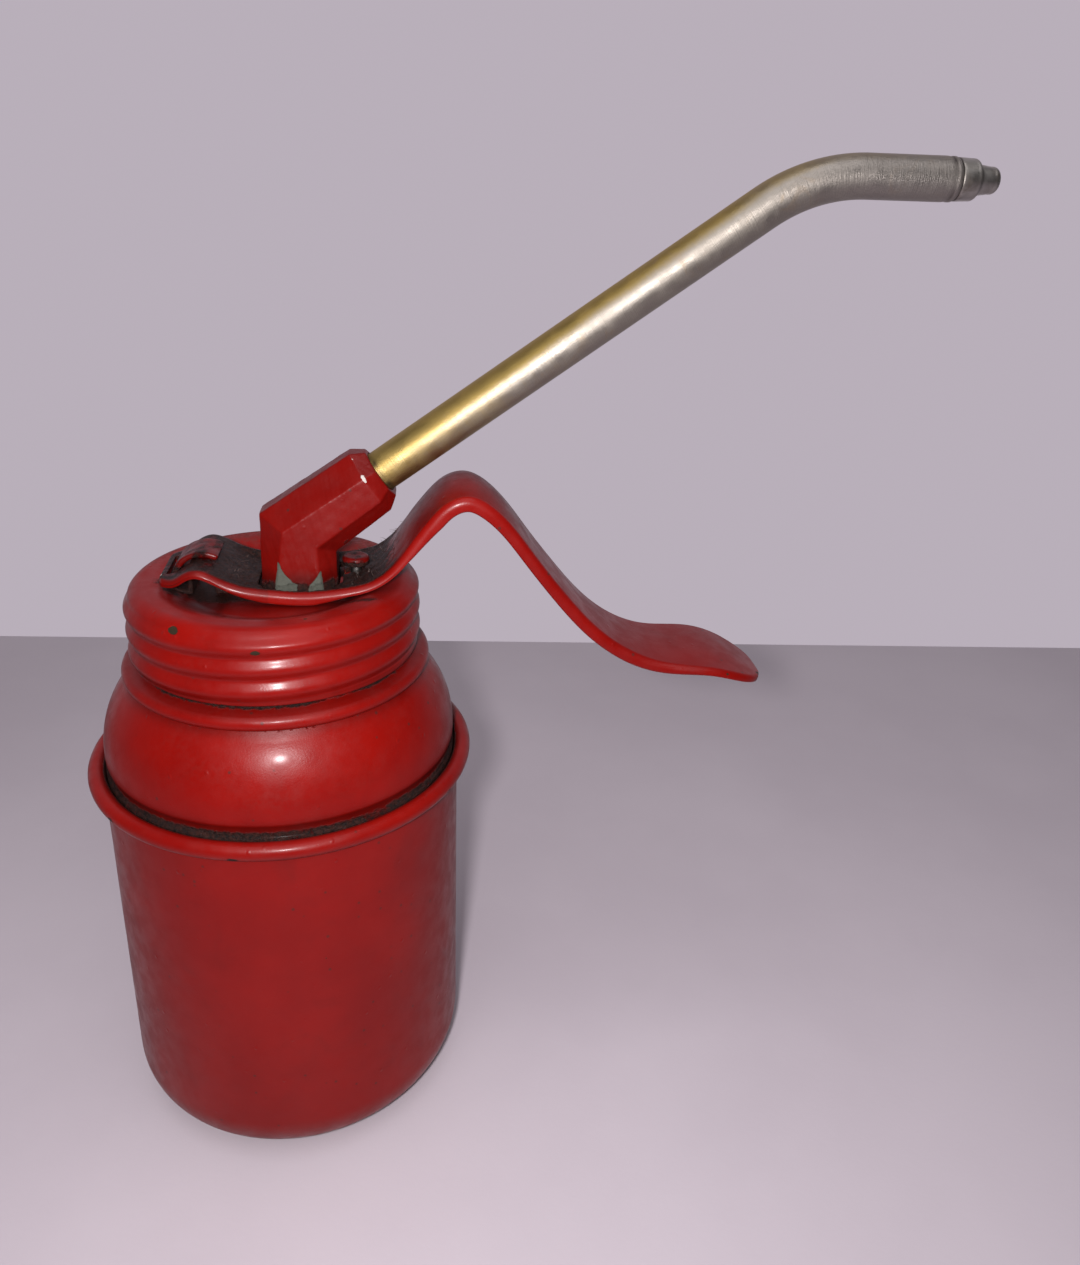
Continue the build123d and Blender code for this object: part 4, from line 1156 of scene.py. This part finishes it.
# ---- pieces kept from the model
kept = {
    cork: ("cap_gasket", "head_gasket"),
    pump_brass: ("pump_locknut", "outlet_seat", "riser_tube", "pump_barrel", "barrel_head", "pump_foot",
                 "passage_plug", "inlet_seat", "suction_tube", "strainer"),
    ball_steel: ("outlet_ball", "inlet_ball"),
    spring_steel: ("outlet_spring", "plunger_spring"),
    plain_steel: ("plunger_rod", "cup_washer", "plunger_nut", "ball_stop_pin"),
    felt: ("rod_packing",),
    leather: ("plunger_cup",),
    red_enamel: ("barrel_nut",),
}
for material, names in kept.items():
    for name in names:
        obj = nodes[name]
        if not obj.material_slots:
            obj.data.materials.append(material)
        for place in obj.material_slots:
            place.material = material

# ---- table and light
paint = Paint("pale_table", Roughness=0.5, Specular_IOR_Level=0.35)
cloudy = paint.ramp(paint.noise(9, 5, 0.6), 0.3, 0.7)
paint.set("Base Color", paint.mix(cloudy, (0.445, 0.398, 0.436), (0.480, 0.432, 0.470)))
paint.set("Normal", paint.bump(paint.noise(700, 3, 0.5), 0.03))
back_left = Vector((-140.8, 224.1, 0))      # two points of the table's far edge
back_right = Vector((317.0, 188.5, 0))
along_edge = (back_right - back_left).normalized()
far_left = back_left - along_edge * 1800
far_right = back_right + along_edge * 1800
forward = Vector((along_edge.y, -along_edge.x, 0)) * 2600
corners = [far_left, far_right, far_right + forward, far_left + forward]
table = make_object("table", [tuple(v) for v in corners], [(0, 1, 2, 3)])
table.data.materials.append(paint.material)
table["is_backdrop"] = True

# The room is dim, apart from the pale wall that stands past the table's far edge, towards +Y.
room_light = (0.096, 0.0924, 0.0984)
wall_light = (0.485, 0.430, 0.490)
world = bpy.data.worlds.new("room")
bpy.context.scene.world = world
world.use_nodes = True
room = Nodes(world.node_tree)
direction = room.node("SeparateXYZ", Vector=room.node("TexCoord").outputs["Generated"])
facing_wall = room.ramp(direction.outputs["Y"], 0.15, 0.70)
background = world.node_tree.nodes["Background"]
room.join(background.inputs["Color"], room.mix(facing_wall, room_light, wall_light))
room.join(background.inputs["Strength"], 1.0)


def soft_light(name, place, shape, size, power, colour):
    """Area light turned to the middle of the object. Its place is in metres."""
    data = bpy.data.lights.new(name, "AREA")
    data.shape = shape
    data.size = size
    data.energy = power
    data.color = colour
    light = bpy.data.objects.new(name, data)
    link(light)
    light.location = place
    light.rotation_mode = "QUATERNION"
    light.rotation_quaternion = (aim - place).to_track_quat("-Z", "Y")


aim = Vector((0.03, 0.0, 0.09))
beside_lens = camera_place + Vector((-0.015, 0.0, 0.002))
soft_light("overhead", Vector((0.05, -0.35, 0.95)), "SQUARE", 0.80, 4.2, (1, 0.97, 1.0))
soft_light("near_lens", beside_lens, "DISK", 0.016, 0.72, (1, 0.96, 0.98))

low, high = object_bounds()
